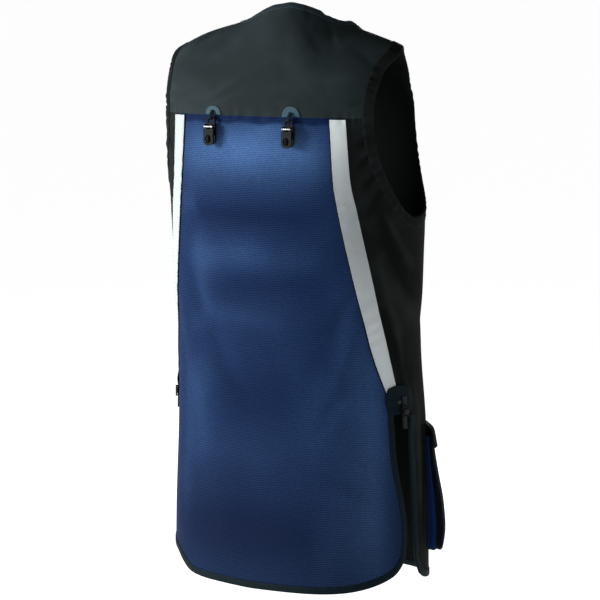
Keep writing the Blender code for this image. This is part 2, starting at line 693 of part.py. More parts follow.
def extruded(name, outline, low, high, plane, finish):
    """A closed outline given a thickness; plane tells which two axes the outline is drawn in."""
    rings = []
    for depth in (low, high):
        if plane == "xz":
            rings.append([(a, depth, b) for a, b in outline])
        else:
            rings.append([(depth, a, b) for a, b in outline])
    return swept(name, rings, finish, closed=False)


def arc(middle, radius, start, end, steps):
    """Points of an arc, with angles in degrees; radius may be one number or a pair."""
    wide, tall = radius if isinstance(radius, tuple) else (radius, radius)
    angles = np.radians(np.linspace(start, end, steps + 1))
    return [(middle[0] + wide * math.cos(a), middle[1] + tall * math.sin(a)) for a in angles]


def helper(thing):
    """Mark an object as a guide that is only used to shape another."""
    thing.hide_render = True
    thing.display_type = "WIRE"
    return thing


def combine(thing, other, operation):
    """Add or cut away a helper with a Boolean."""
    change = thing.modifiers.new(operation.lower(), "BOOLEAN")
    change.operation = operation
    change.solver = "EXACT"
    change.object = helper(other)
    other.parent = thing


def place_in(frame, *things):
    """Put objects that were drawn round their own origin at a frame."""
    for thing in things:
        thing.matrix_world = frame


def rectangle(half_width, low, high):
    """Four corners of a rectangle."""
    return [(-half_width, low), (half_width, low), (half_width, high), (-half_width, high)]


def make_patch_and_rivet(edges, name):
    """The rounded patch at the top of a vent, and its rivet."""
    places = rounded_grid(PATCH_MIDDLE, PATCH_HALF, 6) * np.array([edges.side, 1.0])
    wall("adjuster_patch_" + name, places, "binding", PATCH_LIFT, PATCH_LIFT + BAND)
    profile = ((0.0, RIVET_RADIUS), (RIVET_HEIGHT / 2, RIVET_RADIUS), (RIVET_HEIGHT, RIVET_TOP_RADIUS))
    rings = [[(r * math.cos(a), out, r * math.sin(a)) for a in np.linspace(0, 2 * math.pi, 12, False)]
             for out, r in profile]
    rivet = swept("adjuster_rivet_" + name, rings, "plastic", closed=False)
    frame = local_frame(edges.side * RIVET_PLACE.turn, RIVET_PLACE.rise, PATCH_LIFT + BAND + SEAM_GAP)
    place_in(frame, rivet)


def ribbon(path, thickness):
    """Outline of a strip of even thickness along a path of points in a plane."""
    path = [Vector(p) for p in path]
    left, right = [], []
    for k, point in enumerate(path):
        before = path[max(k - 1, 0)]
        after = path[min(k + 1, len(path) - 1)]
        into = (point - before).normalized() if k else (after - point).normalized()
        out = (after - point).normalized() if k < len(path) - 1 else into
        bend = (into + out).normalized()
        normal = Vector((-bend.y, bend.x))
        half = thickness / 2 / max(bend.dot(into), 0.5)
        left.append(tuple(point + normal * half))
        right.append(tuple(point - normal * half))
    return left + right[::-1]


def make_buckle_and_strap(row):
    """The ladder buckle and the strap that weaves through it."""
    body = extruded("adjuster_buckle_" + row.name, rectangle(BUCKLE_WIDTH / 2, -BUCKLE_HEIGHT / 2,
                    BUCKLE_HEIGHT / 2), -BUCKLE_THICKNESS / 2, BUCKLE_THICKNESS / 2, "xz", "plastic")
    for number, middle in enumerate((SLOT_MIDDLE, -SLOT_MIDDLE)):
        outline = rectangle(SLOT_WIDTH / 2, middle - SLOT_HEIGHT / 2, middle + SLOT_HEIGHT / 2)
        slot = extruded("buckle_slot_%s_%d" % (row.name, number), outline, -BUCKLE_THICKNESS,
                        BUCKLE_THICKNESS, "xz", "plastic")
        combine(body, slot, "DIFFERENCE")
    side_step = BUCKLE_THICKNESS / 2 + SEAM_GAP + STRAP_THICKNESS / 2
    start_out = PATCH_LIFT + BAND + SEAM_GAP + STRAP_THICKNESS / 2 - row.lift
    near, far = SLOT_MIDDLE + 0.0009, SLOT_MIDDLE - 0.0009
    path = (
        (start_out, STRAP_ABOVE), (start_out, STRAP_ABOVE - 0.004), (-side_step, BUCKLE_HEIGHT / 2 + 0.0005),
        (-side_step, near), (side_step, far), (side_step, -far), (-side_step, -near),
        (-side_step + row.tail / 2, -STRAP_BELOW * 0.6), (-side_step + row.tail, -STRAP_BELOW),
    )
    strap = extruded("adjuster_strap_" + row.name, ribbon(path, STRAP_THICKNESS), -STRAP_WIDTH / 2,
                     STRAP_WIDTH / 2, "yz", "binding")
    place_in(local_frame(row.side * BUCKLE_PLACE.turn, BUCKLE_PLACE.rise, row.lift), body, strap)


def pocket_border():
    """The three sewn sides of a pocket on the wearer's left, as rear, bottom and front lines."""
    corner = POCKET_CORNER
    rear = [(POCKET_REAR, POCKET_MOUTH), (POCKET_REAR, POCKET_BOTTOM + corner.rise)]
    bend = arc((POCKET_REAR + corner.turn, POCKET_BOTTOM + corner.rise), (corner.turn, corner.rise), 180, 225, 4)
    rear_line = even(rear + bend[1:], POCKET_SIDE_ROWS)
    bend = arc((POCKET_REAR + corner.turn, POCKET_BOTTOM + corner.rise), (corner.turn, corner.rise), 225, 270, 4)
    other = arc((POCKET_FRONT - corner.turn, POCKET_BOTTOM + corner.rise), (corner.turn, corner.rise), 270, 315, 4)
    bottom_line = even(bend + other, POCKET_COLUMNS)
    other = arc((POCKET_FRONT - corner.turn, POCKET_BOTTOM + corner.rise), (corner.turn, corner.rise), 315, 360, 4)
    front_line = even(other + [(POCKET_FRONT, POCKET_MOUTH)], POCKET_SIDE_ROWS)[::-1]
    return rear_line, bottom_line, front_line


def make_pocket(edges, name):
    """One bellows pocket: a gusset round three sides, a face, and a flap over the mouth."""
    rear, bottom, front = [on_side(line, edges.side) for line in pocket_border()]
    path = join(rear, bottom, front[::-1])
    steps = inward_steps(path, False, edges.side)
    depth = through(path[:, 1], POCKET_DEPTH, "depth")
    base = CLOTH + LAY_GAP
    rings = []
    for place, step, out in zip(path, steps, depth):
        ring = np.array([place, place, place + step * POCKET_WALL, place + step * POCKET_WALL])
        rings.append(cloth_point(ring, np.array([base, out, out, base])))
    swept("pocket_gusset_" + name, rings, "bellows", closed=False)
    top = level(rear[0, 0], front[0, 0], POCKET_MOUTH, POCKET_COLUMNS)
    places = patch(top, bottom, rear, front)
    lift = through(places[..., 1], POCKET_DEPTH, "depth") + SEAM_GAP
    wall("pocket_face_" + name, places, "nylon", lift, lift + POCKET_WALL)
    ends = (edges.side * (POCKET_REAR - FLAP_SPARE_TURN), edges.side * (POCKET_FRONT + FLAP_SPARE_TURN))
    rows = np.stack([level(ends[0], ends[1], row.rise, POCKET_COLUMNS) for row in FLAP])
    lift = np.array([[row.lift] * (POCKET_COLUMNS + 1) for row in FLAP])
    wall("pocket_flap_" + name, rows, "nylon", lift, lift + CLOTH)


def make_zip():
    """The closed zip behind the fronts: two tapes and the raised chain in one strip."""
    outs = (-ZIP_HALF_TAPE, -ZIP_HALF_CHAIN * 1.3, -ZIP_HALF_CHAIN, ZIP_HALF_CHAIN, ZIP_HALF_CHAIN * 1.3,
            ZIP_HALF_TAPE)
    low = -ZIP_BEHIND
    lifts = (low, low, ZIP_CHAIN_LIFT, ZIP_CHAIN_LIFT, low, low)
    places, outer = [], []
    for rise in np.linspace(NECK_POINT - 0.002, ZIP_BOTTOM, ZIP_ROWS + 1):
        turns = [turn_at(out, rise, True) % 360 for out in outs]
        places.append([(turn - 360 if turn > 180 else turn, rise) for turn in turns])
        outer.append(lifts)
    wall("front_zip", np.array(places), "zip", low - CLOTH, np.array(outer))


def make_slider_and_pull():
    """The zip's slider with its bail, and the pull tab that hangs from it."""
    frame = local_frame(180.0, SLIDER_RISE, SLIDER_LIFT, upright=False)
    low, high, wide = -SLIDER_HALF_LENGTH, SLIDER_HALF_LENGTH, SLIDER_HALF_WIDTH
    nose, waist = SLIDER_NOSE_HALF_WIDTH, SLIDER_WAIST
    outline = [(-nose, low), (nose, low), (wide, waist), (wide, high), (-wide, high), (-wide, waist)]
    slider = extruded("zip_slider", outline, 0.0, SLIDER_THICKNESS, "xz", "zip")
    middle = (SLIDER_THICKNESS - 0.0004, 0.0)
    wire = BAIL_WIRE
    ring = arc(middle, (BAIL_OUT, BAIL_HALF_HEIGHT), -90, 90, 8)
    ring += arc(middle, (BAIL_OUT - wire, BAIL_HALF_HEIGHT - wire), 90, -90, 8)
    bail = extruded("slider_bail", ring, -BAIL_HALF_WIDTH, BAIL_HALF_WIDTH, "yz", "zip")
    combine(slider, bail, "UNION")
    place_in(frame, slider)
    outline = arc((0.0, PULL_TOP - PULL_HALF_WIDTH), PULL_HALF_WIDTH, 0, 180, 6)
    outline += arc((0.0, PULL_BOTTOM + PULL_FOOT), PULL_FOOT, 180, 360, 8)
    pull = extruded("zip_pull", outline, -PULL_HALF_THICKNESS, PULL_HALF_THICKNESS, "xz", "zip")
    eye = rectangle(PULL_EYE_HALF_WIDTH, -PULL_TOP - PULL_EYE_HEIGHT, -PULL_TOP)
    hole = extruded("pull_eye", eye, -0.002, 0.002, "xz", "zip")
    combine(pull, hole, "DIFFERENCE")
    place_in(frame @ Matrix.Translation(Vector((0.0, PULL_BAR_OUT, PULL_BAR_DOWN))), pull)


def clip_frame(side):
    """The frame of a clip: its origin is the middle of the bar that hangs in the loop."""
    x = side * CLIP_OUT
    rise = YOKE_SEAM - CLIP_BAR_BELOW_SEAM
    at = cloth_point(np.array([turn_at(x, rise), rise]), np.array(CLIP_BAR_LIFT))
    return Matrix.Translation(Vector((x, at[1], CHEST_LINE + rise)))


def make_tab(side, name):
    """The half-round cloth tab that holds a clip's loop on the yoke."""
    middle = turn_at(side * CLIP_OUT, 0.0)
    half = abs(turn_at(side * (CLIP_OUT + TAB_HALF_WIDTH), 0.0) - middle)
    rows = 5
    places = []
    for v in np.linspace(0, 1, rows + 1):
        wide = half * math.sqrt(max(1 - (v * TAB_ROUNDING) ** 2, 0))
        rise = YOKE_SEAM + TAB_BOTTOM + TAB_HEIGHT * v
        places.append([(middle + wide * u, rise) for u in np.linspace(-1, 1, 7)])
    wall("clip_tab_" + name, np.array(places), "binding", CLOTH + SEAM_GAP, CLOTH + SEAM_GAP + BAND)


def make_loop(frame, side, name):
    """The narrow cloth loop that the clip's eye hangs in."""
    tab_face = cloth_point(np.array([turn_at(side * CLIP_OUT, 0.008), 0.008]),
                           np.array(CLOTH + 2 * SEAM_GAP + BAND))[1]
    back = tab_face - frame.translation.y + SEAM_GAP
    tip_inner = 0.0004
    inner = arc((0.0, 0.0), LOOP_INNER, 180, 360, 8)
    outer = arc((0.0, 0.0), LOOP_INNER + LOOP_THICKNESS, 180, 360, 8)
    tip = back + LOOP_THICKNESS
    inner += [(tip + 2 * tip_inner, LOOP_TOP - LOOP_THICKNESS), (tip, LOOP_TOP - LOOP_THICKNESS)]
    outer += [(tip + 2 * tip_inner + LOOP_THICKNESS, LOOP_TOP), (back, LOOP_TOP)]
    mesh_data = bmesh.new()
    rows = []
    for outline in (outer, inner):
        for x in (-LOOP_WIDTH / 2, LOOP_WIDTH / 2):
            rows.append([mesh_data.verts.new((x, y, z)) for y, z in outline])
    count = len(outer)
    for k in range(count):
        n = (k + 1) % count
        for a, b in ((0, 1), (1, 3), (3, 2), (2, 0)):
            mesh_data.faces.new((rows[a][k], rows[a][n], rows[b][n], rows[b][k]))
    loop = new_object("clip_loop_" + name, mesh_data, "binding")
    place_in(frame, loop)


def make_clip_body(frame, name):
    """The back plate of a clip: the eye at its top, and two cheeks that hold the pin."""
    outline = arc((0.0, BAR_HALF - 0.004), (EYE_HALF_WIDTH, 0.004), 0, 180, 8)
    outline += [(-EYE_HALF_WIDTH, CLIP_NECK + 0.001), (-CLIP_HALF_WIDTH, CLIP_NECK)]
    outline += arc((0.0, CLIP_BOTTOM + 0.006), (CLIP_HALF_WIDTH, 0.006), 180, 360, 8)
    outline += [(CLIP_HALF_WIDTH, CLIP_NECK), (EYE_HALF_WIDTH, CLIP_NECK + 0.001)]
    body = extruded("clip_body_" + name, outline, -BAR_HALF, BAR_HALF, "xz", "plastic")
    slot = extruded("eye_slot_" + name, rectangle(EYE_SLOT_WIDTH / 2, -BAR_HALF - EYE_SLOT_HEIGHT, -BAR_HALF),
                    -CUTTER_REACH, CUTTER_REACH, "xz", "plastic")
    combine(body, slot, "DIFFERENCE")
    ear = [(BAR_HALF - 0.0004, PIN_DOWN - CHEEK_RADIUS)]
    ear += arc((PIN_OUT, PIN_DOWN), CHEEK_RADIUS, -90, 90, 6) + [(BAR_HALF - 0.0004, PIN_DOWN + CHEEK_RADIUS)]
    for hand in (-1, 1):
        ends = sorted((hand * CHEEK_INSIDE, hand * CLIP_HALF_WIDTH))
        cheek = extruded("cheek_%s_%d" % (name, hand + 1), ear, ends[0], ends[1], "yz", "plastic")
        combine(body, cheek, "UNION")
    bore = extruded("pin_bore_" + name, arc((PIN_OUT, PIN_DOWN), PIN_BORE, 0, 330, 11), -CUTTER_REACH,
                    CUTTER_REACH, "yz", "plastic")
    combine(body, bore, "DIFFERENCE")
    pin = extruded("clip_pin_" + name, arc((PIN_OUT, PIN_DOWN), PIN_RADIUS, 0, 330, 11),
                   -CLIP_HALF_WIDTH - 0.0003, CLIP_HALF_WIDTH + 0.0003, "yz", "steel")
    place_in(frame, body, pin)


def make_clip_lever(frame, name):
    """The lever with its oval thumb hole, which turns on the pin."""
    outline = arc((0.0, LEVER_BOTTOM + 0.0070), (LEVER_HALF_WIDTH, 0.0070), 180, 360, 10)
    outline += [(LEVER_HALF_WIDTH, LEVER_TOP), (-LEVER_HALF_WIDTH, LEVER_TOP)]
    lever = extruded("clip_lever_" + name, outline, LEVER_BACK, LEVER_BACK + LEVER_THICKNESS, "xz", "plastic")
    thumb = extruded("thumb_hole_" + name, arc((0.0, THUMB_DOWN), THUMB_HALF, 0, 345, 15), -CUTTER_REACH,
                     CUTTER_REACH, "xz", "plastic")
    combine(lever, thumb, "DIFFERENCE")
    arm = arc((0.0, 0.0), ARM_RADIUS, 0, 180, 6)
    arm += [(LEVER_BACK + 0.0003, LEVER_TOP - 0.0012), (LEVER_BACK + LEVER_THICKNESS - 0.0003, LEVER_TOP - 0.0012)]
    for hand in (-1, 1):
        ends = sorted((hand * ARM_INSIDE, hand * ARM_OUTSIDE))
        knuckle = extruded("arm_%s_%d" % (name, hand + 1), arm, ends[0], ends[1], "yz", "plastic")
        combine(lever, knuckle, "UNION")
    bore = extruded("lever_bore_" + name, arc((0.0, 0.0), PIN_BORE, 0, 330, 11), -CUTTER_REACH, CUTTER_REACH,
                    "yz", "plastic")
    combine(lever, bore, "DIFFERENCE")
    place_in(frame @ Matrix.Translation(Vector((0.0, PIN_OUT, PIN_DOWN))), lever)


def build():
    """Make every piece of the vest."""
    clear_scene()
    left, right = VestEdges(1), VestEdges(-1)
    neck = back_neck_line(left, right)
    make_yoke(left, right, neck)
    make_mesh_panel(left, right)
    make_neck_binding(left, right, neck)
    for edges, name in ((left, "left"), (right, "right")):
        make_side_panel(edges, name)
        make_front_panel(edges, name)
        make_armhole_band(edges, name)
        make_tape(edges, name)
        make_patch_and_rivet(edges, name)
        make_pocket(edges, name)
        make_tab(edges.side, name)
        frame = clip_frame(edges.side)
        make_loop(frame, edges.side, name)
        make_clip_body(frame, name)
        make_clip_lever(frame, name)
    for row in ADJUSTERS:
        make_buckle_and_strap(row)
    make_zip()
    make_slider_and_pull()


build()
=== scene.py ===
"""Looks of a shooting vest with a mesh back: cloth shells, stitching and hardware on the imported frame.

Units are metres and +Z is up. A place on the cloth is a pair: the turn round the body in degrees from
the middle of the back (positive to the wearer's left), and the rise along the cloth from the chest line.
"""
import logging
import math
from dataclasses import dataclass, field
from enum import Enum
from typing import Callable, Iterable, NamedTuple, Sequence

import bpy
import numpy as np
from mathutils import Matrix, Vector


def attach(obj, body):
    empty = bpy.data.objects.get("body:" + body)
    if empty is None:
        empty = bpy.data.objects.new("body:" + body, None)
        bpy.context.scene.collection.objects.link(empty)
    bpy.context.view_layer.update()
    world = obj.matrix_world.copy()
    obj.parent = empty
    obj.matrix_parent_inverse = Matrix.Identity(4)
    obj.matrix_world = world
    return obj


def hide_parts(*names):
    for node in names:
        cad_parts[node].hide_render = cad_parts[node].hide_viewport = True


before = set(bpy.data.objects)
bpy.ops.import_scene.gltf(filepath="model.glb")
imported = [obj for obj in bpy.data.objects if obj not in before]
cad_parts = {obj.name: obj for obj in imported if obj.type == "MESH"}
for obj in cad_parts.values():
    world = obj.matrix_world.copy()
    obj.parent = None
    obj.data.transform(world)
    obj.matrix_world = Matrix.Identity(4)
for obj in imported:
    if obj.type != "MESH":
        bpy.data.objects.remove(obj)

log = logging.getLogger("vest")
Array = np.ndarray
Piece = bpy.types.Object
Material = bpy.types.Material
Pair = tuple[float, float]
Triple = tuple[float, float, float]
Colour = Triple
TAU = 2 * math.pi
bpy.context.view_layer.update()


class Slot(Enum):
    """Material slots of the record."""

    NYLON = "nylon"
    MESH = "mesh"
    BINDING = "binding"
    TAPE = "tape"
    BELLOWS = "bellows"
    STEEL = "steel"
    ZIP = "zip"


class Held(Enum):
    """How a cut of cloth is held."""

    HUNG = "hung"
    STRETCHED = "stretched"


class Place(NamedTuple):
    """A place on the cloth: turn in degrees and rise in metres."""

    turn: float
    rise: float


class Section(NamedTuple):
    """One level cut through the worn body of the vest."""

    height: float
    half_width: float
    back_depth: float
    front_depth: float
    squareness: float


class Shoulder(NamedTuple):
    """Height of the shoulder line, from the wearer's right (negative) to the left."""

    across: float
    height: float


class Fold(NamedTuple):
    """A soft fold or crease: half length, half width, depth outward, and lean in degrees."""

    turn: float
    rise: float
    length: float
    width: float
    depth: float
    lean: float


class Standing(NamedTuple):
    """How far a piece stands out from the cloth at a rise."""

    rise: float
    depth: float


def folds(*rows: tuple[float, ...]) -> tuple[Fold, ...]:
    """Folds from plain rows of numbers."""
    return tuple(Fold(*row) for row in rows)


def run_of(points: Array) -> Array:
    """Length from the start of a line of points to each of them."""
    return np.concatenate([[0], np.cumsum(np.linalg.norm(np.diff(points, axis=0), axis=1))])


def through(where: Array | float, table: Sequence[NamedTuple], column: str) -> Array:
    """Read a column of a table by a monotone cubic through its rows.

    Args:
        where: Values of the table's first column.
        table: Rows with their key first.
        column: Name of the column to read.

    Returns:
        The column's value at each key.
    """
    rows = sorted(table)
    keys = np.array([row[0] for row in rows], float)
    values = np.array([getattr(row, column) for row in rows], float)
    gaps = np.diff(keys)
    slopes = np.diff(values) / gaps
    tangents = np.zeros(len(keys))
    tangents[0], tangents[-1] = slopes[0], slopes[-1]
    for k in range(1, len(keys) - 1):
        if slopes[k - 1] * slopes[k] > 0:
            near = 2 * gaps[k] + gaps[k - 1]
            far = gaps[k] + 2 * gaps[k - 1]
            tangents[k] = (near + far) / (near / slopes[k - 1] + far / slopes[k])
    where = np.clip(np.asarray(where, float), keys[0], keys[-1])
    k = np.clip(np.searchsorted(keys, where) - 1, 0, len(keys) - 2)
    s = (where - keys[k]) / gaps[k]
    start = (1 + 2 * s) * (1 - s) ** 2 * values[k] + s * (1 - s) ** 2 * gaps[k] * tangents[k]
    end = s * s * (3 - 2 * s) * values[k + 1] + s * s * (s - 1) * gaps[k] * tangents[k + 1]
    return start + end


@dataclass(frozen=True)
class Ruffle:
    """Small puckers that a line of sewing draws into the cloth beside it."""

    line: Array
    pitch: float
    depth: float
    reach: float
    seed: float = 0.0
    wander: float = 1.7
    wander_pitches: float = 5.3
    swell: float = 0.45
    swell_pitches: float = 7.9

    def height(self, turn: Array, rise: Array, arc: float) -> Array:
        """Height of the puckers.

        Args:
            turn: Turns in degrees.
            rise: Rises in metres.
            arc: Metres of cloth for one degree.

        Returns:
            Heights in metres, near zero beyond the reach.
        """
        flat = np.stack([np.ravel(turn) * arc, np.ravel(rise)], -1)
        path = self.line * np.array([arc, 1.0])
        run = run_of(path)
        high = path.max(0) + 3 * self.reach
        low = path.min(0) - 3 * self.reach
        near = np.all((flat > low) & (flat < high), axis=1)
        total = np.zeros(len(flat))
        if not near.any():
            return total.reshape(np.shape(turn))
        gaps = np.linalg.norm(flat[near][:, None] - path[None], axis=2)
        nearest = gaps.argmin(1)
        distance = gaps[np.arange(len(nearest)), nearest]
        along = run[nearest]
        turns = TAU * along / self.pitch
        wave = np.sin(turns + self.seed + self.wander * np.sin(turns / self.wander_pitches))
        swell = 1 - self.swell + self.swell * np.sin(turns / self.swell_pitches + 2.1 * self.seed)
        total[near] = self.depth * wave * swell * np.exp(-(distance / self.reach) ** 2)
        return total.reshape(np.shape(turn))


@dataclass
class WornForm:
    """The worn form of the vest with its folds, which all its cloth follows."""

    chest_line: float = -0.13
    shoulder_bend: float = 0.13
    neck_shift: float = -0.012
    degree_arc: float = 0.0028
    front_fall: float = 0.8
    front_fall_from: float = -0.02
    front_fall_power: int = 12
    torso: tuple[Section, ...] = tuple(Section(*row) for row in (
        (-0.13, 0.19, 0.094, 0.116, 2.5), (-0.25, 0.182, 0.098, 0.131, 2.45),
        (-0.36, 0.177, 0.095, 0.1345, 2.4), (-0.43, 0.1735, 0.0903, 0.134, 2.4),
        (-0.56, 0.178, 0.0871, 0.1449, 2.4), (-0.68, 0.182, 0.0897, 0.1465, 2.4),
        (-0.79, 0.183, 0.0914, 0.1486, 2.4),
    ))
    shoulder_line: tuple[Shoulder, ...] = tuple(Shoulder(*row) for row in (
        (-0.2, -0.056), (-0.168, -0.0385), (-0.15, -0.0315), (-0.12, -0.0222), (-0.106, -0.0178),
        (-0.092, -0.0098), (-0.08, 0.001), (-0.066, 0.0165), (-0.048, 0.0295), (-0.028, 0.036),
        (-0.008, 0.0335), (0.006, 0.0275), (0.022, 0.017), (0.045, 0.0015), (0.066, -0.008),
        (0.096, -0.0155), (0.126, -0.024), (0.15, -0.0335), (0.17, -0.043), (0.2, -0.056),
    ))
    large_folds: tuple[Fold, ...] = folds(
        (2, -0.1, 0.09, 0.045, 0.004, 0), (0, -0.138, 0.085, 0.022, -0.004, 0),
        (-14, -0.236, 0.075, 0.024, -0.005, -4), (-14, -0.52, 0.065, 0.05, -0.004, 0),
        (21, -0.28, 0.1, 0.016, -0.0045, 63), (33, -0.33, 0.08, 0.022, 0.0035, 70),
        (-46, -0.315, 0.06, 0.018, 0.003, -66),
    )
    creases: tuple[Fold, ...] = folds(
        (0, -0.001, 0.19, 0.0018, -0.0007, 0), (-19, 0.16, 0.034, 0.005, -0.0016, 62),
        (-24, 0.15, 0.03, 0.004, 0.0011, 54), (-12, 0.148, 0.026, 0.0045, -0.0013, 70),
        (-16, 0.112, 0.024, 0.006, -0.0009, 35), (54, 0.01, 0.022, 0.005, -0.001, 24),
        (52, 0.034, 0.02, 0.005, 0.0009, -12), (-50, 0.03, 0.022, 0.005, -0.0009, -20),
        (66, -0.02, 0.026, 0.005, -0.0011, 40), (60, -0.045, 0.024, 0.005, 0.0009, 36),
        (-66, -0.03, 0.026, 0.005, -0.0011, -42), (-70, -0.062, 0.024, 0.0055, 0.001, -36),
        (-64, -0.1, 0.028, 0.006, -0.001, -50), (66, -0.11, 0.028, 0.006, -0.001, 48),
        (30, 0.155, 0.03, 0.007, -0.001, -55), (48, 0.12, 0.034, 0.008, 0.0008, -40),
        (-47, 0.11, 0.036, 0.009, -0.0008, 35), (20, 0.07, 0.06, 0.018, -0.001, 12),
        (-30, 0.06, 0.05, 0.016, 0.0009, -10), (-52, -0.33, 0.045, 0.01, -0.0016, -62),
        (-38, -0.38, 0.05, 0.011, -0.0014, -55), (-44, -0.255, 0.04, 0.01, -0.0012, -60),
        (28, -0.22, 0.05, 0.01, 0.0014, 60), (12, -0.345, 0.06, 0.012, -0.0013, 35),
        (-2, -0.42, 0.07, 0.02, -0.0014, 8), (30, -0.48, 0.055, 0.018, 0.0014, -20),
        (-40, -0.5, 0.05, 0.014, 0.0013, 24), (8, -0.58, 0.08, 0.016, 0.0012, -5),
        (-78, -0.19, 0.055, 0.012, -0.0017, 52), (-84, -0.245, 0.05, 0.012, 0.0014, 40),
        (-76, -0.3, 0.06, 0.013, -0.0015, 60), (80, -0.2, 0.055, 0.012, -0.0016, -50),
        (82, -0.265, 0.06, 0.013, 0.0014, -42), (104, -0.24, 0.06, 0.013, -0.0016, -48),
        (-106, -0.255, 0.06, 0.014, -0.0016, 45), (128, -0.18, 0.06, 0.015, 0.0015, -60),
        (-130, -0.2, 0.065, 0.015, 0.0014, 56), (150, -0.3, 0.07, 0.016, -0.0013, -30),
        (-148, -0.32, 0.07, 0.016, -0.0014, 26), (140, 0.06, 0.05, 0.012, -0.0012, 40),
        (-141, 0.055, 0.05, 0.012, -0.0012, -44), (-94, -0.45, 0.1, 0.006, 0.0014, 88),
        (-100, -0.47, 0.09, 0.007, -0.0014, 94), (95, -0.46, 0.09, 0.007, 0.0013, 92),
        (-72, -0.16, 0.04, 0.006, -0.0012, 60), (-80, -0.165, 0.045, 0.006, 0.0011, 48),
        (-53, -0.03, 0.02, 0.004, -0.001, -30), (-55, -0.052, 0.022, 0.004, -0.001, -38),
        (-59, -0.078, 0.024, 0.005, -0.0011, -44), (-56, -0.041, 0.02, 0.004, 0.0008, -34),
        (53, -0.036, 0.02, 0.004, -0.001, 32), (57, -0.064, 0.022, 0.005, -0.001, 40),
        (-84, -0.33, 0.07, 0.007, 0.0012, 78), (-74, -0.25, 0.06, 0.007, 0.0011, 66),
        (75, -0.17, 0.045, 0.006, -0.0012, -52), (84, -0.32, 0.06, 0.007, -0.0012, -74),
        (168, -0.42, 0.06, 0.012, 0.001, 78), (-168, -0.38, 0.06, 0.012, 0.001, -76),
    )
    ruffles: list[Ruffle] = field(default_factory=list)
    # Painted light of the mesh where no patch lies.
    plain_painted_light: float = 0.108
    allowance: float = 0.0065
    allowance_fade: float = 0.006
    allowance_tone: float = 0.22
    scallop_depths: Pair = (0.0009, 0.0006)
    scallop_length: float = 0.031
    scallop_turn: float = 0.61
    # Strength of the painted shade that small creases give the nylon.
    painted_crease_contrast: float = 330.0
    # Painted light and shade on the mesh: patches that brighten its bulges and darken its hollows.
    painted_shades: tuple[Fold, ...] = folds(
        (3, -0.05, 0.095, 0.036, 0.4, 0), (-4, -0.042, 0.06, 0.026, 0.18, 0),
        (-7, -0.016, 0.018, 0.012, 0.16, 0), (-26, -0.06, 0.05, 0.026, 0.06, 90),
        (14, -0.188, 0.05, 0.022, 0.14, -6), (24, -0.215, 0.06, 0.016, 0.07, 90),
        (6, -0.268, 0.05, 0.015, 0.06, 8), (28, -0.283, 0.02, 0.016, 0.05, 0),
        (-10, -0.226, 0.07, 0.02, -0.03, 0), (31, -0.12, 0.018, 0.018, 0.08, 0),
        (39, -0.44, 0.11, 0.014, 0.06, 90), (-12, -0.19, 0.05, 0.018, 0.06, 0),
        (28, -0.395, 0.075, 0.024, 0.1, 90), (0, -0.455, 0.1, 0.026, 0.03, 0),
        (-30, -0.4, 0.06, 0.03, 0.07, 90), (-59, -0.47, 0.17, 0.03, 0.3, 90),
        (-46, -0.4, 0.19, 0.026, 0.1, 90), (-40, -0.58, 0.04, 0.06, 0.06, 0),
        (0, -0.134, 0.085, 0.018, -0.06, 0), (1, -0.374, 0.045, 0.042, -0.05, 0),
        (12, -0.56, 0.105, 0.045, -0.096, 0),
    )
    # Painted light and shade on the yoke: patches lighter or darker where light falls and along its creases.
    yoke_painted_light: tuple[Fold, ...] = folds(
        (-5, 0.03, 0.06, 0.03, -0.24, 0), (34, 0.02, 0.06, 0.04, 0.16, 0),
        (-40, 0.06, 0.05, 0.06, -0.16, 0), (18, 0.13, 0.06, 0.02, 0.1, 0),
        (7, 0.033, 0.042, 0.0045, -0.2, -27), (6, 0.042, 0.04, 0.006, 0.16, -29),
        (11, 0.018, 0.022, 0.004, 0.12, -22), (-4, 0.012, 0.014, 0.0035, -0.24, 16),
        (-9, 0.02, 0.012, 0.0035, -0.2, -34), (1, 0.021, 0.012, 0.003, 0.14, 24),
        (-6, 0.03, 0.014, 0.004, 0.12, -12), (-18, 0.016, 0.016, 0.004, -0.16, -20),
        (-22, 0.036, 0.026, 0.006, 0.12, 38), (26, 0.014, 0.016, 0.004, -0.18, 14),
        (34, 0.028, 0.02, 0.0045, -0.16, -18), (49, 0.012, 0.014, 0.003, -0.34, 6),
        (48, 0.023, 0.013, 0.003, 0.26, 12), (47, 0.034, 0.014, 0.003, -0.34, 18),
        (46, 0.046, 0.013, 0.0032, 0.24, 24), (45, 0.058, 0.014, 0.0032, -0.28, 28),
    )

    def soft_sum(self, patches: Iterable[Fold], turn: Array, rise: Array) -> Array:
        """Sum of soft long patches.

        Args:
            patches: The patches.
            turn: Turns in degrees.
            rise: Rises in metres.

        Returns:
            The sum at each place.
        """
        total = np.zeros(np.broadcast(turn, rise).shape)
        for spot in patches:
            right = (turn - spot.turn) * self.degree_arc
            up = rise - spot.rise
            lean = math.radians(spot.lean)
            along = right * math.cos(lean) + up * math.sin(lean)
            across = up * math.cos(lean) - right * math.sin(lean)
            total = total + spot.depth * np.exp(-(across / spot.width) ** 2 - (along / spot.length) ** 4)
        return total

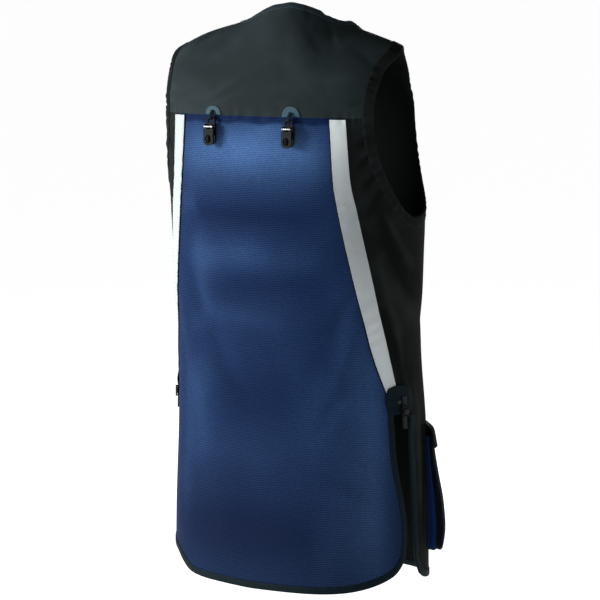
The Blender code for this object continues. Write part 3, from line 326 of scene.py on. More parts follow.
    def tone(self, places: Array, seam: float) -> Array:
        """How light the mesh looks over what lies behind it, with painted light on its bulges and painted shade in
        its hollows.

        Args:
            places: Pairs of turn and rise.
            seam: Rise of the yoke seam, whose allowance darkens the mesh below it.

        Returns:
            Tones from 0 to 1.
        """
        turn, rise = places[..., 0], places[..., 1]
        tone = self.plain_painted_light + self.soft_sum(self.painted_shades, turn, rise)
        slow = np.sin(turn * self.degree_arc * TAU / self.scallop_length)
        scallop = self.scallop_depths[0] * slow + self.scallop_depths[1] * np.sin(turn * self.scallop_turn)
        below = np.clip((seam - self.allowance + scallop - rise) / self.allowance_fade, 0, 1)
        dark = self.allowance_tone
        return np.clip(tone * (dark + (1 - dark) * below * below * (3 - 2 * below)), 0, 1)

    def nylon_painted_shade(self, places: Array) -> Array:
        """Painted shade of the nylon: a painted highlight on small ridges, painted shade in small hollows."""
        small = self.relief(self.creases[1:], places[..., 0], places[..., 1])
        return 0.5 + np.clip(small * self.painted_crease_contrast, -0.4, 0.4)

    @property
    def top_rise(self) -> float:
        """Rise of the shoulder line."""
        return self.shoulder_bend * math.pi / 2

    def body(self, turn: Array | float, rise: Array | float) -> Array:
        """Points of the smooth form.

        Args:
            turn: Turns in degrees.
            rise: Rises in metres.

        Returns:
            Points, with x, y and z along the last axis.
        """
        turn, rise = np.broadcast_arrays(np.asarray(turn, float), np.asarray(rise, float))
        angle = np.radians(np.abs(turn))
        height = self.chest_line + np.minimum(rise, 0)
        half_width = through(height, self.torso, "half_width")
        back = through(height, self.torso, "back_depth")
        front = through(height, self.torso, "front_depth")
        power = 2 / through(height, self.torso, "squareness")
        x = np.sign(turn) * half_width * np.sign(np.sin(angle)) * np.abs(np.sin(angle)) ** power
        y = (back - front) / 2 + (back + front) / 2 * np.sign(np.cos(angle)) * np.abs(np.cos(angle)) ** power
        bend = np.clip(rise / self.shoulder_bend, 0, math.pi / 2)
        ridge = through(x, self.shoulder_line, "height")
        fall = np.maximum(ridge - self.front_fall_from, 0) * (1 - np.sin(bend) ** self.front_fall_power)
        ridge = np.where(angle > math.pi / 2, ridge - self.front_fall * fall, ridge)
        return np.stack([x, y * np.cos(bend), height + (ridge - self.chest_line) * np.sin(bend)], -1)

    def slopes(self, turn: Array, rise: Array) -> tuple[Array, Array]:
        """How the form moves.

        Args:
            turn: Turns in degrees.
            rise: Rises in metres.

        Returns:
            The moves for a degree of turn and for a metre of rise.
        """
        small_turn, small_rise = 0.05, 0.0005
        rise = np.minimum(rise, self.top_rise - small_rise)
        by_turn = (self.body(turn + small_turn, rise) - self.body(turn - small_turn, rise)) / (2 * small_turn)
        by_rise = (self.body(turn, rise + small_rise) - self.body(turn, rise)) / small_rise
        return by_turn, by_rise

    def outward(self, turn: Array, rise: Array) -> Array:
        """Directions out of the cloth.

        Args:
            turn: Turns of the places.
            rise: Their rises.

        Returns:
            A unit direction for each place.
        """
        by_turn, by_rise = self.slopes(turn, rise)
        normal = np.cross(by_rise, by_turn)
        return normal / np.linalg.norm(normal, axis=-1, keepdims=True)

    def relief(self, patches: Iterable[Fold], turn: Array, rise: Array) -> Array:
        """Height of some folds with all puckers.

        Args:
            patches: The folds.
            turn: Turns in degrees.
            rise: Rises in metres.

        Returns:
            Heights in metres.
        """
        total = self.soft_sum(patches, turn, rise)
        for ruffle in self.ruffles:
            total = total + ruffle.height(turn, rise, self.degree_arc)
        return total

    def cloth(self, places: Array, lift: Array | float) -> Array:
        """Points of the cloth.

        Args:
            places: Pairs of turn and rise along the last axis.
            lift: Height out of the cloth's inner face.

        Returns:
            Points, with x, y and z along the last axis.
        """
        turn, rise = places[..., 0], places[..., 1]
        height = self.relief(self.large_folds + self.creases, turn, rise) + lift
        return self.body(turn, rise) + self.outward(turn, rise) * np.asarray(height)[..., None]

    def turn_at(self, x: float, rise: float, front: bool = False) -> float:
        """The turn at which the form reaches a distance from its middle plane.

        Args:
            x: The distance, negative to the wearer's right.
            rise: Rise on the cloth.
            front: Whether the place is on the front.

        Returns:
            The turn in degrees.
        """
        height = self.chest_line + min(rise, 0)
        half_width = float(through(height, self.torso, "half_width"))
        squareness = float(through(height, self.torso, "squareness"))
        angle = math.degrees(math.asin(min(1.0, abs(x) / half_width) ** (squareness / 2)))
        return math.copysign(180 - angle if front else angle, x)

    def run(self, line: Array) -> Array:
        """Length along a line of places, measured on the smooth form."""
        return run_of(self.body(line[:, 0], line[:, 1]))

    def even(self, line: Iterable, steps: int) -> Array:
        """Cut a line of places into equal lengths.

        Args:
            line: The places.
            steps: How many lengths.

        Returns:
            One place more than the steps.
        """
        line = np.array(line, float)
        run = self.run(line)
        wanted = np.linspace(0, run[-1], steps + 1)
        return np.stack([np.interp(wanted, run, line[:, 0]), np.interp(wanted, run, line[:, 1])], -1)

    def level(self, start: float, end: float, rise: float, steps: int) -> Array:
        """An evenly cut line at one rise."""
        turns = np.linspace(start, end, 400)
        return self.even(np.stack([turns, np.full(len(turns), rise)], -1), steps)

    def inward(self, line: Array, closed: bool, hand: int) -> Array:
        """The way from a line into the panel that it borders.

        Args:
            line: The places.
            closed: Whether the line closes on itself.
            hand: Side of the line on which the panel lies.

        Returns:
            Change of turn and rise for a metre, at each place.
        """
        points = self.body(line[:, 0], line[:, 1])
        if closed:
            along = np.roll(points, -1, axis=0) - np.roll(points, 1, axis=0)
        else:
            along = np.gradient(points, axis=0)
        into = hand * np.cross(self.outward(line[:, 0], line[:, 1]), along)
        into /= np.linalg.norm(into, axis=1, keepdims=True)
        by_turn, by_rise = self.slopes(line[:, 0], line[:, 1])
        steps = [np.linalg.lstsq(np.stack([a, b], -1), c, rcond=None)[0]
                 for a, b, c in zip(by_turn, by_rise, into)]
        return np.array(steps)


def curve(places: Sequence[Pair], count: int = 24) -> Array:
    """A fine smooth line through places, as a Catmull-Rom curve.

    Args:
        places: The places.
        count: Steps from one place to the next.

    Returns:
        The line.
    """
    knots = np.array(places, float)
    knots = np.vstack([2 * knots[0] - knots[1], knots, 2 * knots[-1] - knots[-2]])
    line = []
    for k in range(1, len(knots) - 2):
        for s in np.arange(count) / count:
            a, b, c, d = knots[k - 1:k + 3]
            line.append(0.5 * (2 * b + (c - a) * s + (2 * a - 5 * b + 4 * c - d) * s ** 2
                               + (3 * b - a - 3 * c + d) * s ** 3))
    line.append(knots[-2])
    return np.array(line)


def on_side(line: Iterable, side: int) -> Array:
    """The same line on the wearer's left (1) or right (-1)."""
    return np.array(line, float) * np.array([side, 1.0])


def join(*lines: Array) -> Array:
    """Lines one after another, with the shared end places kept once."""
    return np.vstack([lines[0]] + [line[1:] for line in lines[1:]])


def patch(top: Array, bottom: Array, first: Array, last: Array) -> Array:
    """Places between four border lines.

    Args:
        top: Border from first to last.
        bottom: The same at the other end.
        first: Border from top to bottom.
        last: The same at the other side.

    Returns:
        Rows of places from top to bottom, with columns from first to last.
    """
    s = np.linspace(0, 1, len(top))[None, :, None]
    t = np.linspace(0, 1, len(first))[:, None, None]
    ruled = (1 - t) * top[None] + t * bottom[None] + (1 - s) * first[:, None] + s * last[:, None]
    corners = (1 - t) * ((1 - s) * top[0] + s * top[-1]) + t * ((1 - s) * bottom[0] + s * bottom[-1])
    return ruled - corners


def close_rows(places: Array, at_start: bool) -> Array:
    """A grid with closer rows beside one border, where a seam needs them.

    Args:
        places: The grid.
        at_start: Whether that is its first border and not its last.

    Returns:
        The finer grid.
    """
    count = len(places) - 1
    near = np.array([0.0, 0.12, 0.25, 0.4, 0.6, 0.8, 1.0, 1.25, 1.5, 1.75, 2.0, 2.5])
    rows = np.concatenate([near, np.arange(3, count + 1)])
    if not at_start:
        rows = count - rows[::-1]
    low = np.clip(np.floor(rows).astype(int), 0, count - 1)
    part = (rows - low)[:, None, None]
    return places[low] * (1 - part) + places[low + 1] * part


def arc(middle: Pair, wide: float, tall: float, start: float, end: float, steps: int) -> list[Pair]:
    """Points of an oval arc, from half sizes and two angles in degrees: one more than the steps."""
    angles = np.radians(np.linspace(start, end, steps + 1))
    return [(middle[0] + wide * math.cos(a), middle[1] + tall * math.sin(a)) for a in angles]


def maths(operation: str, swapped: bool = False) -> Callable[["Value", "Value | float"], "Value"]:
    """A method of Value for one Math node.

    Args:
        operation: Blender's name of the operation.
        swapped: Whether the other value comes first, as in the reflected forms.

    Returns:
        The method.
    """
    def method(self: "Value", other: "Value | float") -> "Value":
        """The operation on this value and the other."""
        return self.graph.math(operation, *((other, self) if swapped else (self, other)))
    return method


class Value:
    """A number that varies over a surface, so that shader maths reads as ordinary sums."""

    def __init__(self, graph: "Graph", socket: bpy.types.NodeSocket) -> None:
        """Wrap an output socket of a graph."""
        self.graph = graph
        self.socket = socket

    __add__ = __radd__ = maths("ADD")
    __sub__, __rsub__ = maths("SUBTRACT"), maths("SUBTRACT", swapped=True)
    __mul__ = __rmul__ = maths("MULTIPLY")
    __truediv__, __rtruediv__ = maths("DIVIDE"), maths("DIVIDE", swapped=True)

    def wave(self, pitch: float) -> "Value":
        """A sine wave from 0 to 1 that repeats each pitch."""
        return self.graph.math("SINE", self * (TAU / pitch)) * 0.5 + 0.5

    def step(self, low: float, high: float) -> "Value":
        """A soft step.

        Args:
            low: Where it leaves 0.
            high: Where it reaches 1.

        Returns:
            Its value from 0 to 1.
        """
        node = self.graph.node("ShaderNodeMapRange", {"interpolation_type": "SMOOTHSTEP"},
                               {"Value": self, "From Min": low, "From Max": high})
        return Value(self.graph, node.outputs[0])


class Graph:
    """The nodes of one material."""

    def __init__(self, name: str) -> None:
        """Start a material with a Principled shader and its output.

        Args:
            name: The material's name.
        """
        self.material = bpy.data.materials.new(name)
        self.material.use_nodes = True
        self.tree = self.material.node_tree
        self.shader = self.tree.nodes["Principled BSDF"]

    def node(self, kind: str, settings: dict[str, object], inputs: dict[str | int, object]) -> bpy.types.Node:
        """Add a node.

        Args:
            kind: Blender's node type.
            settings: Properties set first.
            inputs: Values or links for sockets, by name or number.

        Returns:
            The new node.
        """
        made = self.tree.nodes.new(kind)
        for key, setting in settings.items():
            setattr(made, key, setting)
        for key, value in inputs.items():
            self.feed(made.inputs[key], value)
        return made

    def feed(self, socket: bpy.types.NodeSocket, value: object) -> None:
        """Link or set one input socket.

        Args:
            socket: The input.
            value: A value of the graph, another node's output, or a constant.
        """
        if isinstance(value, Value):
            self.tree.links.new(value.socket, socket)
        elif isinstance(value, bpy.types.NodeSocket):
            self.tree.links.new(value, socket)
        else:
            socket.default_value = value

    def math(self, operation: str, *values: "Value | float") -> Value:
        """One Math node."""
        node = self.node("ShaderNodeMath", {"operation": operation}, dict(enumerate(values)))
        return Value(self, node.outputs[0])

    def cloth(self) -> tuple[Value, Value, Value]:
        """What the cloth's points hold.

        Returns:
            Metres across and along the cloth, and its painted light and shade from dark to light.
        """
        source = self.node("ShaderNodeAttribute", {"attribute_name": "cloth"}, {})
        parts = self.node("ShaderNodeSeparateXYZ", {}, {0: source.outputs["Vector"]})
        return tuple(Value(self, parts.outputs[k]) for k in range(3))

    def noise(self, scale: float, detail: float = 2.0, stretch: Colour = (1.0, 1.0, 1.0)) -> Value:
        """Noise in the object's own space.

        Args:
            scale: Repeats for a metre.
            detail: Octaves of finer noise.
            stretch: Scale along each axis.

        Returns:
            Values about 0.5.
        """
        where = self.node("ShaderNodeTexCoord", {}, {})
        scaled = self.node("ShaderNodeVectorMath", {"operation": "MULTIPLY"},
                           {0: where.outputs["Object"], 1: stretch})
        noise = self.node("ShaderNodeTexNoise", {}, {"Vector": scaled.outputs[0], "Scale": scale,
                                                     "Detail": detail})
        return Value(self, noise.outputs[0])

    def mix(self, factor: Value | float, first: object, second: object) -> bpy.types.NodeSocket:
        """A colour between two others.

        Args:
            factor: 0 for the first, 1 for the second.
            first: A colour or the output that gives one.
            second: The same.

        Returns:
            The output.
        """
        ends = [(*end, 1.0) if isinstance(end, tuple) else end for end in (first, second)]
        node = self.node("ShaderNodeMix", {"data_type": "RGBA"}, {0: factor, 6: ends[0], 7: ends[1]})
        return node.outputs[2]

    def bump(self, height: Value, distance: float, strength: float = 1.0) -> bpy.types.NodeSocket:
        """A normal from a height."""
        node = self.node("ShaderNodeBump", {}, {"Height": height, "Distance": distance, "Strength": strength})
        return node.outputs[0]

    def finish(self, **sockets: object) -> Material:
        """Set the shader's sockets, named with underscores for spaces.

        Args:
            **sockets: Values or links.

        Returns:
            The finished material.
        """
        for key, value in sockets.items():
            if isinstance(value, tuple) and len(value) == 3:
                value = (*value, 1.0)
            self.feed(self.shader.inputs[key.replace("_", " ")], value)
        return self.material


@dataclass(frozen=True)
class NylonFinish:
    """Crisp dark woven nylon with a soft sheen."""

    name: str
    colour: Colour
    lit: Colour
    thread: float = 0.0006
    roughness: float = 0.78
    sheen: float = 0.0
    shine: float = 0.05
    clouds: float = 26.0
    specks: float = 900.0
    relief: float = 0.00008

    def build(self) -> Material:
        """The nylon's material.

        Returns:
            The new material.
        """
        graph = Graph(self.name)
        across, along, tone = graph.cloth()
        weave = across.wave(self.thread) * along.wave(self.thread)
        cloudy = graph.noise(self.clouds, 3)
        fine = graph.noise(self.specks, 2)
        # Mottling and weave of the nylon, with painted light and shade from the cloth's attribute.
        shade = (cloudy * 0.6 + fine * 0.25 + weave * 0.2).step(0.25, 0.85) + (tone - 0.5) * 1.3
        height = weave * 0.6 + fine * 0.7
        return graph.finish(
            Base_Color=graph.mix(shade, self.colour, self.lit),
            Roughness=self.roughness + (cloudy - 0.5) * 0.18, Specular_IOR_Level=self.shine,
            Sheen_Weight=self.sheen, Sheen_Roughness=0.4, Normal=graph.bump(height, self.relief, 0.5))


@dataclass(frozen=True)
class MeshFinish:
    """Knitted mesh: fine cross ribs, rows of small holes, a darkening for what lies behind, painted light and shade
    from the cloth, and painted sheen that greys it towards the bottom.
    """

    name: str
    deep: Colour
    lit: Colour
    rib: float = 0.0024
    gap: float = 0.0021
    roughness: float = 0.62
    # Painted sheen colour that greys the lower mesh.
    painted_sheen_grey: Colour = (0.0095, 0.013, 0.0215)
    border: float = 10.0
    edging: Colour = (0.003, 0.0055, 0.008)
    clouds: float = 16.0
    yarns: float = 260.0
    relief: float = 0.0004
    # Rises between which the painted sheen grows.
    painted_sheen_from: float = -0.36
    painted_sheen_to: float = -0.62

    def build(self) -> Material:
        """The mesh's material.

        Returns:
            The new material.
        """
        graph = Graph(self.name)
        across, along, tone = graph.cloth()
        ribs = along.wave(self.rib)
        holes = (across + (along / (self.rib * 2)) * self.gap).wave(self.gap)
        cloudy = graph.noise(self.clouds, 4)
        thready = graph.noise(self.yarns, 3, (1.0, 1.0, 4.0))
        open_part = (holes * (1 - ribs)).step(0.45, 0.95)
        # Knit pattern and mottling, scaled by the painted light and shade held in the cloth's attribute.
        light = tone * (0.78 + ribs * 0.36 + (thready - 0.5) * 1.1 + (cloudy - 0.5) * 0.5)
        knit = (ribs - 0.5 - open_part) * (0.055 + along.step(self.painted_sheen_from, -0.58) * 0.035)
        yarn = graph.mix(light + knit, self.deep, self.lit)
        # Painted sheen greys the mesh towards the bottom.
        low = along.step(self.painted_sheen_from, self.painted_sheen_to)
        painted_sheen_mix = graph.mix(low * 0.45, yarn, graph.mix(0.62, yarn, self.painted_sheen_grey))
        edged = graph.mix(across.step(self.border, self.border + 0.0008), painted_sheen_mix, self.edging)
        height = ribs * 0.8 - open_part * 0.8
        return graph.finish(
            Base_Color=edged, Roughness=self.roughness + open_part * 0.2, Specular_IOR_Level=0.02,
            Sheen_Weight=0.015, Sheen_Roughness=0.35, Sheen_Tint=(0.45, 0.62, 1.0),
            Normal=graph.bump(height, self.relief, 0.45))


@dataclass(frozen=True)
class WebbingFinish:
    """Narrow woven tape with ribs along or across it."""

    name: str
    colour: Colour
    groove: Colour
    rib: float = 0.0013
    crossing: float = 0.0008
    roughness: float = 0.55
    sheen: float = 0.03
    shine: float = 0.12
    contrast: float = 1.0

    def build(self) -> Material:
        """The tape's material.

        Returns:
            The new material.
        """
        graph = Graph(self.name)
        across, along, tone = graph.cloth()
        ribs = across.wave(self.rib)
        picks = along.wave(self.crossing)
        cloudy = graph.noise(60, 3)
        # Weave ribs, with painted light and shade from the cloth's attribute.
        shade = ((ribs * 0.55 + picks * 0.25 + cloudy * 0.3).step(0.1, 0.75) - 0.5) * self.contrast + tone
        return graph.finish(
            Base_Color=graph.mix(shade, self.groove, self.colour), Roughness=self.roughness,
            Specular_IOR_Level=self.shine, Sheen_Weight=self.sheen, Sheen_Roughness=0.4,
            Normal=graph.bump(ribs * 0.7 + picks * 0.4, 0.00025, 0.6))


@dataclass(frozen=True)
class MouldedFinish:
    """Moulded or painted hard piece, worn a little paler on its grain."""

    name: str
    colour: Colour
    worn: Colour
    roughness: float = 0.38
    metallic: float = 0.0
    grain: float = 1400.0
    shine: float = 0.5

    def build(self) -> Material:
        """The piece's material.

        Returns:
            The new material.
        """
        graph = Graph(self.name)
        grain = graph.noise(self.grain, 3)
        smear = graph.noise(180, 2)
        return graph.finish(
            Base_Color=graph.mix((smear * 0.6 + grain * 0.4).step(0.35, 0.8), self.colour, self.worn),
            Roughness=self.roughness + (smear - 0.5) * 0.25, Metallic=self.metallic,
            Specular_IOR_Level=self.shine,
            Normal=graph.bump(grain, 0.00005, 0.5))


FINISHES = (
    NylonFinish("yoke_nylon", (0.011, 0.017, 0.0185), (0.022, 0.031, 0.0335)),
    NylonFinish("side_nylon", (0.0022, 0.0034, 0.0034), (0.0135, 0.017, 0.0162)),
    NylonFinish("band_nylon", (0.0018, 0.0027, 0.0028), (0.0135, 0.017, 0.0165)),
    NylonFinish("pocket_nylon", (0.003, 0.006, 0.009), (0.007, 0.012, 0.017)),
    # The mesh's deep and lit colours are the ends of its painted light and shade as well as of its knit.
    MeshFinish("back_mesh", (0.0012, 0.0062, 0.031), (0.06, 0.136, 0.315)),
    MeshFinish("bellows_mesh", (0.0012, 0.006, 0.03), (0.007, 0.025, 0.1), border=0.0108),
    WebbingFinish("neck_binding_cloth", (0.012, 0.025, 0.032), (0.004, 0.009, 0.013), rib=0.001),
    WebbingFinish("edge_binding", (0.0038, 0.0112, 0.0152), (0.0012, 0.0042, 0.0062), rib=0.001, sheen=0.01,
                  shine=0.04),
    WebbingFinish("tab_cloth", (0.033, 0.08, 0.105), (0.015, 0.042, 0.06), rib=0.001),
    # The pale tape's two colours also span its painted light and shade.
    WebbingFinish("pale_tape", (0.56, 0.6, 0.61), (0.19, 0.215, 0.225), rib=0.0016, contrast=0.26),
    WebbingFinish("strap_webbing", (0.011, 0.0155, 0.0145), (0.003, 0.0045, 0.0045), rib=0.0011),
    WebbingFinish("zip_tape", (0.006, 0.0075, 0.009), (0.002, 0.0026, 0.0033), rib=0.0007),
    MouldedFinish("black_acetal", (0.0022, 0.003, 0.0034), (0.005, 0.0066, 0.0072), shine=0.06),
    MouldedFinish("lever_acetal", (0.0036, 0.005, 0.0044), (0.0085, 0.0108, 0.0098), shine=0.08),
    MouldedFinish("bright_steel", (0.3, 0.32, 0.33), (0.46, 0.48, 0.49), 0.34, 0.85),
    MouldedFinish("zip_enamel", (0.006, 0.007, 0.008), (0.02, 0.0215, 0.023), 0.34, 0.3, shine=0.3),
    MouldedFinish("dark_thread", (0.01, 0.015, 0.017), (0.019, 0.026, 0.029), 0.6, shine=0.1),
    MouldedFinish("pale_thread", (0.3, 0.335, 0.35), (0.38, 0.41, 0.425), 0.6, shine=0.1),
)


class Wardrobe:
    """All materials, by name."""

    def __init__(self) -> None:
        """Build each finish once."""
        self.materials = {finish.name: finish.build() for finish in FINISHES}

    def put(self, thing: Piece, name: str) -> None:
        """Give an object one material in all its slots."""
        thing.data.materials.clear()
        thing.data.materials.append(self.materials[name])


BOX_FACES = ((0, 1, 2, 3), (7, 6, 5, 4), (0, 4, 5, 1), (1, 5, 6, 2), (2, 6, 7, 3), (3, 7, 4, 0))


def mesh_object(name: str, points: Array, faces: list[tuple[int, ...]], measure: Array | None,
                sharp: float = 50.0) -> Piece:
    """A smooth mesh object.

    Args:
        name: The piece's name.
        points: Its points, one row each.
        faces: Rings of point numbers.
        measure: Metres across and along the cloth, and its painted light and shade, for each point, or None.
        sharp: Angle in degrees above which an edge stays sharp.

    Returns:
        The new object.
    """
    mesh = bpy.data.meshes.new(name)
    mesh.from_pydata(points.tolist(), [], faces)
    if measure is not None:
        stored = mesh.attributes.new("cloth", "FLOAT_VECTOR", "POINT")
        stored.data.foreach_set("vector", measure.ravel())
    mesh.shade_smooth()
    mesh.set_sharp_from_angle(angle=math.radians(sharp))
    made = bpy.data.objects.new(name, mesh)
    bpy.context.scene.collection.objects.link(made)
    return made


@dataclass
class Tailor:
    """Makes cloth pieces on the worn form and puts them on the frame."""

    form: WornForm
    wardrobe: Wardrobe
    cloth: float = 0.0015
    thread_radius: float = 0.00022
    stitch_stations: tuple[float, ...] = (0.0, 0.3, 0.7, 1.0)
    stitch_stretch: float = 1.4
    band_gap: float = 0.00015
    band_thickness: float = 0.0008
    fold_gap: float = 0.0002
    # Painted shade on the inner faces of every shell.
    inner_painted_shade: float = 0.25
    # Painted light and shade on the ripples of bands.
    ripple_painted_shade: float = 700.0
    pieces: list[Piece] = field(default_factory=list)

    def keep(self, piece: Piece, finish: str, slot: Slot, nodes: Sequence[str] = (),
             body: str = "root") -> Piece:
        """Dress a piece, let it ride on its body and stand for its CAD nodes.

        Args:
            piece: The new piece.
            finish: Name of its material.
            slot: The record's slot; not used.
            nodes: CAD nodes that it stands for.
            body: The body that carries it.

        Returns:
            The same piece.
        """
        self.wardrobe.put(piece, finish)
        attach(piece, body)
        if nodes:
            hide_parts(*nodes)
        self.pieces.append(piece)
        log.info("%s: %d faces", piece.name, len(piece.data.polygons))
        return piece

    def shell(self, name: str, places: Array, inner: Array | float, outer: Array | float,
              measure: Array | None = None, tone: Array | None = None) -> Piece:
        """A closed shell of cloth over a grid of places.

        Args:
            name: The piece's name.
            places: Grid of turn and rise.
            inner: Lift of the inner face.
            outer: Lift of the outer face.
            measure: Metres across and along, or None to take them from the places.
            tone: Painted light and shade of the cloth, or None for the painted crease shade of ordinary cloth.

        Returns:
            The new object.
        """
        rows, columns = places.shape[:2]
        count = rows * columns
        inside = self.form.cloth(places, np.broadcast_to(inner, (rows, columns))).reshape(-1, 3)
        outside = self.form.cloth(places, np.broadcast_to(outer, (rows, columns))).reshape(-1, 3)
        if measure is None:
            measure = places * np.array([self.form.degree_arc, 1.0])
        # Painted crease shade, unless other painted light and shade is given.
        painted_shades = self.form.nylon_painted_shade(places).ravel() if tone is None else tone.ravel()
        flat = np.column_stack([measure.reshape(-1, 2), painted_shades])
        # Inner faces get painted shade.
        inner_shaded = flat * np.array([1.0, 1.0, self.inner_painted_shade])
        clockwise = self._runs_clockwise(outside.reshape(rows, columns, 3), places)
        faces = []
        for i in range(rows - 1):
            for j in range(columns - 1):
                a = i * columns + j
                ring = (a, a + 1, a + columns + 1, a + columns)
                if clockwise:
                    ring = ring[::-1]
                faces.append(ring)
                faces.append(tuple(count + k for k in reversed(ring)))
        border = list(range(columns)) + [i * columns + columns - 1 for i in range(1, rows)]
        border += [(rows - 1) * columns + j for j in range(columns - 2, -1, -1)]
        border += [i * columns for i in range(rows - 2, 0, -1)]
        for here, after in zip(border, border[1:] + border[:1]):
            ring = (after, here, count + here, count + after)
            faces.append(ring[::-1] if clockwise else ring)
        return mesh_object(name, np.vstack([outside, inside]), faces, np.vstack([flat, inner_shaded]), sharp=60)

    def _runs_clockwise(self, grid: Array, places: Array) -> bool:
        """Whether a grid's rings face into the cloth and have to be turned.

        Args:
            grid: Points of the outer face.
            places: Their places.

        Returns:
            True where they do.
        """
        i, j = (min(count // 2, count - 2) for count in grid.shape[:2])
        normal = np.cross(grid[i, j + 1] - grid[i, j], grid[i + 1, j] - grid[i, j])
        out = self.form.outward(places[i, j, 0], places[i, j, 1])
        return float(normal @ out) < 0

    def sweep(self, name: str, rings: Array, closed: bool, around: Array, along: Array,
              tone: Array | float = 0.5) -> Piece:
        """A closed body through equal rings of points.

        Args:
            name: The piece's name.
            rings: Points, ring by ring.
            closed: Whether the last ring meets the first.
            around: Metres round one ring, for the weave.
            along: Metres along the rings, for the weave.
            tone: Painted light and shade of the cloth, for each ring and point.

        Returns:
            The new object, with its faces outward.
        """
        total, count = rings.shape[:2]
        faces = []
        for i in range(total if closed else total - 1):
            n = (i + 1) % total
            for j in range(count):
                k = (j + 1) % count
                faces.append((i * count + j, i * count + k, n * count + k, n * count + j))
        if not closed:
            faces.append(tuple(range(count - 1, -1, -1)))
            faces.append(tuple((total - 1) * count + j for j in range(count)))
        painted_shades = np.broadcast_to(tone, (total, count)).ravel()
        measure = np.stack([np.tile(around, total), np.repeat(along, count), painted_shades], -1)
        made = mesh_object(name, rings.reshape(-1, 3), faces, measure, sharp=60)
        self.face_out(made)
        return made

    @staticmethod
    def face_out(thing: Piece) -> None:
        """Turn a closed body's faces outward.

        Args:
            thing: The body.
        """
        mesh = thing.data
        volume = 0.0
        for face in mesh.polygons:
            volume += face.center.dot(face.normal) * face.area
        if volume < 0:
            mesh.flip_normals()

    def ribbon(self, name: str, path: Array, half: float, thick: float, flat: float, rim: float,
               place: Callable[[Array], Array]) -> Piece:
        """A narrow strip with soft edges along a path in one upright plane.

        Args:
            name: The piece's name.
            path: Pairs of distance outward and height.
            half: Half its width.
            thick: Its thickness.
            flat: Share of the half width that is flat.
            rim: Share of the thickness that is left at its edges.
            place: Turns points across, outward and up into points of the frame.

        Returns:
            The new object.
        """
        along = np.gradient(path, axis=0)
        along /= np.linalg.norm(along, axis=1, keepdims=True)
        normal = np.stack([-along[:, 1], along[:, 0]], -1) * thick / 2
        across = half * np.array([-1, -flat, flat, 1, 1, flat, -flat, -1])
        share = np.array([rim, 1, 1, rim, -rim, -1, -1, -rim])
        section = path[:, None] + normal[:, None] * share[None, :, None]
        rings = np.dstack([np.broadcast_to(across, section.shape[:2]), section])
        return self.sweep(name, place(rings), False, across, run_of(path))

    def band(self, name: str, line: Array, reach: float, hand: int, closed: bool = False,
             inner_leaf: float = 0.006, waver: float = 0.0, ripple: float = 0.017) -> Piece:
        """A band folded round a panel's edge, hugging both faces, with a rounded fold.

        Args:
            name: The piece's name.
            line: The panel's edge.
            reach: Width of the outer leaf.
            hand: Side of the line on which the panel lies.
            closed: Whether the line closes on itself.
            inner_leaf: Width of the inner leaf.
            waver: Height of small waves along the band.
            ripple: Length of one wave.

        Returns:
            The new object.
        """
        steps = self.form.inward(line, closed, hand)
        cloth, near, thick, fold = self.cloth, self.band_gap, self.band_thickness, -self.fold_gap
        face, middle = cloth + near, cloth / 2
        profile = [(reach, face), (fold, face), (fold, -near), (inner_leaf, -near),
                   (inner_leaf, -near - thick * 0.6), (inner_leaf * 0.5, -near - thick)]
        profile += arc((fold, middle), middle + near + thick, middle + near + thick, 270, 90, 7)
        profile += [(reach * 0.35, face + thick * 1.15), (reach * 0.75, face + thick * 1.05),
                    (reach + 2 * fold, face + thick * 0.8), (reach, face + thick * 0.35)]
        into, lifts = np.array(profile).T
        run = self.form.run(line)
        places = line[:, None] + steps[:, None] * into[None, :, None]
        slow, slower = ripple * 4.1, ripple * 6.3
        swell = 0.6 + 0.4 * np.sin(TAU * run / slower + 1.1)
        wave = waver * swell * np.sin(TAU * run / ripple + 2.2 * np.sin(TAU * run / slow))
        waves = wave[:, None] * (lifts[None] > cloth) * np.clip(into[None] / reach, 0, 1)
        rings = self.form.cloth(places, lifts[None] + waves)
        # Ripple crests get a painted highlight and their troughs painted shade.
        return self.sweep(name, rings, closed, into, run, 0.5 + waves * self.ripple_painted_shade)

    def stitches(self, name: str, lines: Sequence[tuple[Array, float]], slot: Slot = Slot.NYLON,
                 finish: str = "dark_thread", length: float = 0.0022, pitch: float = 0.0031) -> Piece:
        """Rows of small raised stitches along lines on the cloth.

        Args:
            name: The piece's name.
            lines: Lines of places, each with its lift.
            slot: The record's slot.
            finish: The thread's material.
            length: Length of one stitch.
            pitch: Distance from stitch to stitch.

        Returns:
            The new object.
        """
        points, faces = [], []
        for line, lift in lines:
            run = self.form.run(line)
            starts = np.arange(pitch / 2, run[-1] - length, pitch)
            stations = starts[:, None] + length * np.array(self.stitch_stations)
            places = np.stack([np.interp(stations, run, line[:, 0]), np.interp(stations, run, line[:, 1])], -1)
            middle = self.form.cloth(places, lift)
            out = self.form.outward(places[..., 0], places[..., 1])
            straight = np.linalg.norm(middle[:, -1] - middle[:, 0], axis=1) < self.stitch_stretch * length
            middle, out = middle[straight], out[straight]
            along = middle[:, -1:] - middle[:, :1]
            aside = np.cross(out, along)
            aside /= np.linalg.norm(aside, axis=-1, keepdims=True)
            for k in range(len(middle)):
                base = len(points)
                points.append(middle[k, 0])
                for station in (1, 2):
                    for wide, tall in arc((0.0, 0.4), 1.3, 1.0, 45, 315, 3):
                        off = wide * aside[k, station] + tall * out[k, station]
                        points.append(middle[k, station] + self.thread_radius * off)
                points.append(middle[k, 3])
                for j in range(4):
                    n = (j + 1) % 4
                    faces.append((base, base + 1 + n, base + 1 + j))
                    faces.append((base + 1 + j, base + 1 + n, base + 5 + n, base + 5 + j))
                    faces.append((base + 9, base + 5 + j, base + 5 + n))
        made = mesh_object(name, np.array(points), faces, None, sharp=80)
        self.face_out(made)
        return self.keep(made, finish, slot)


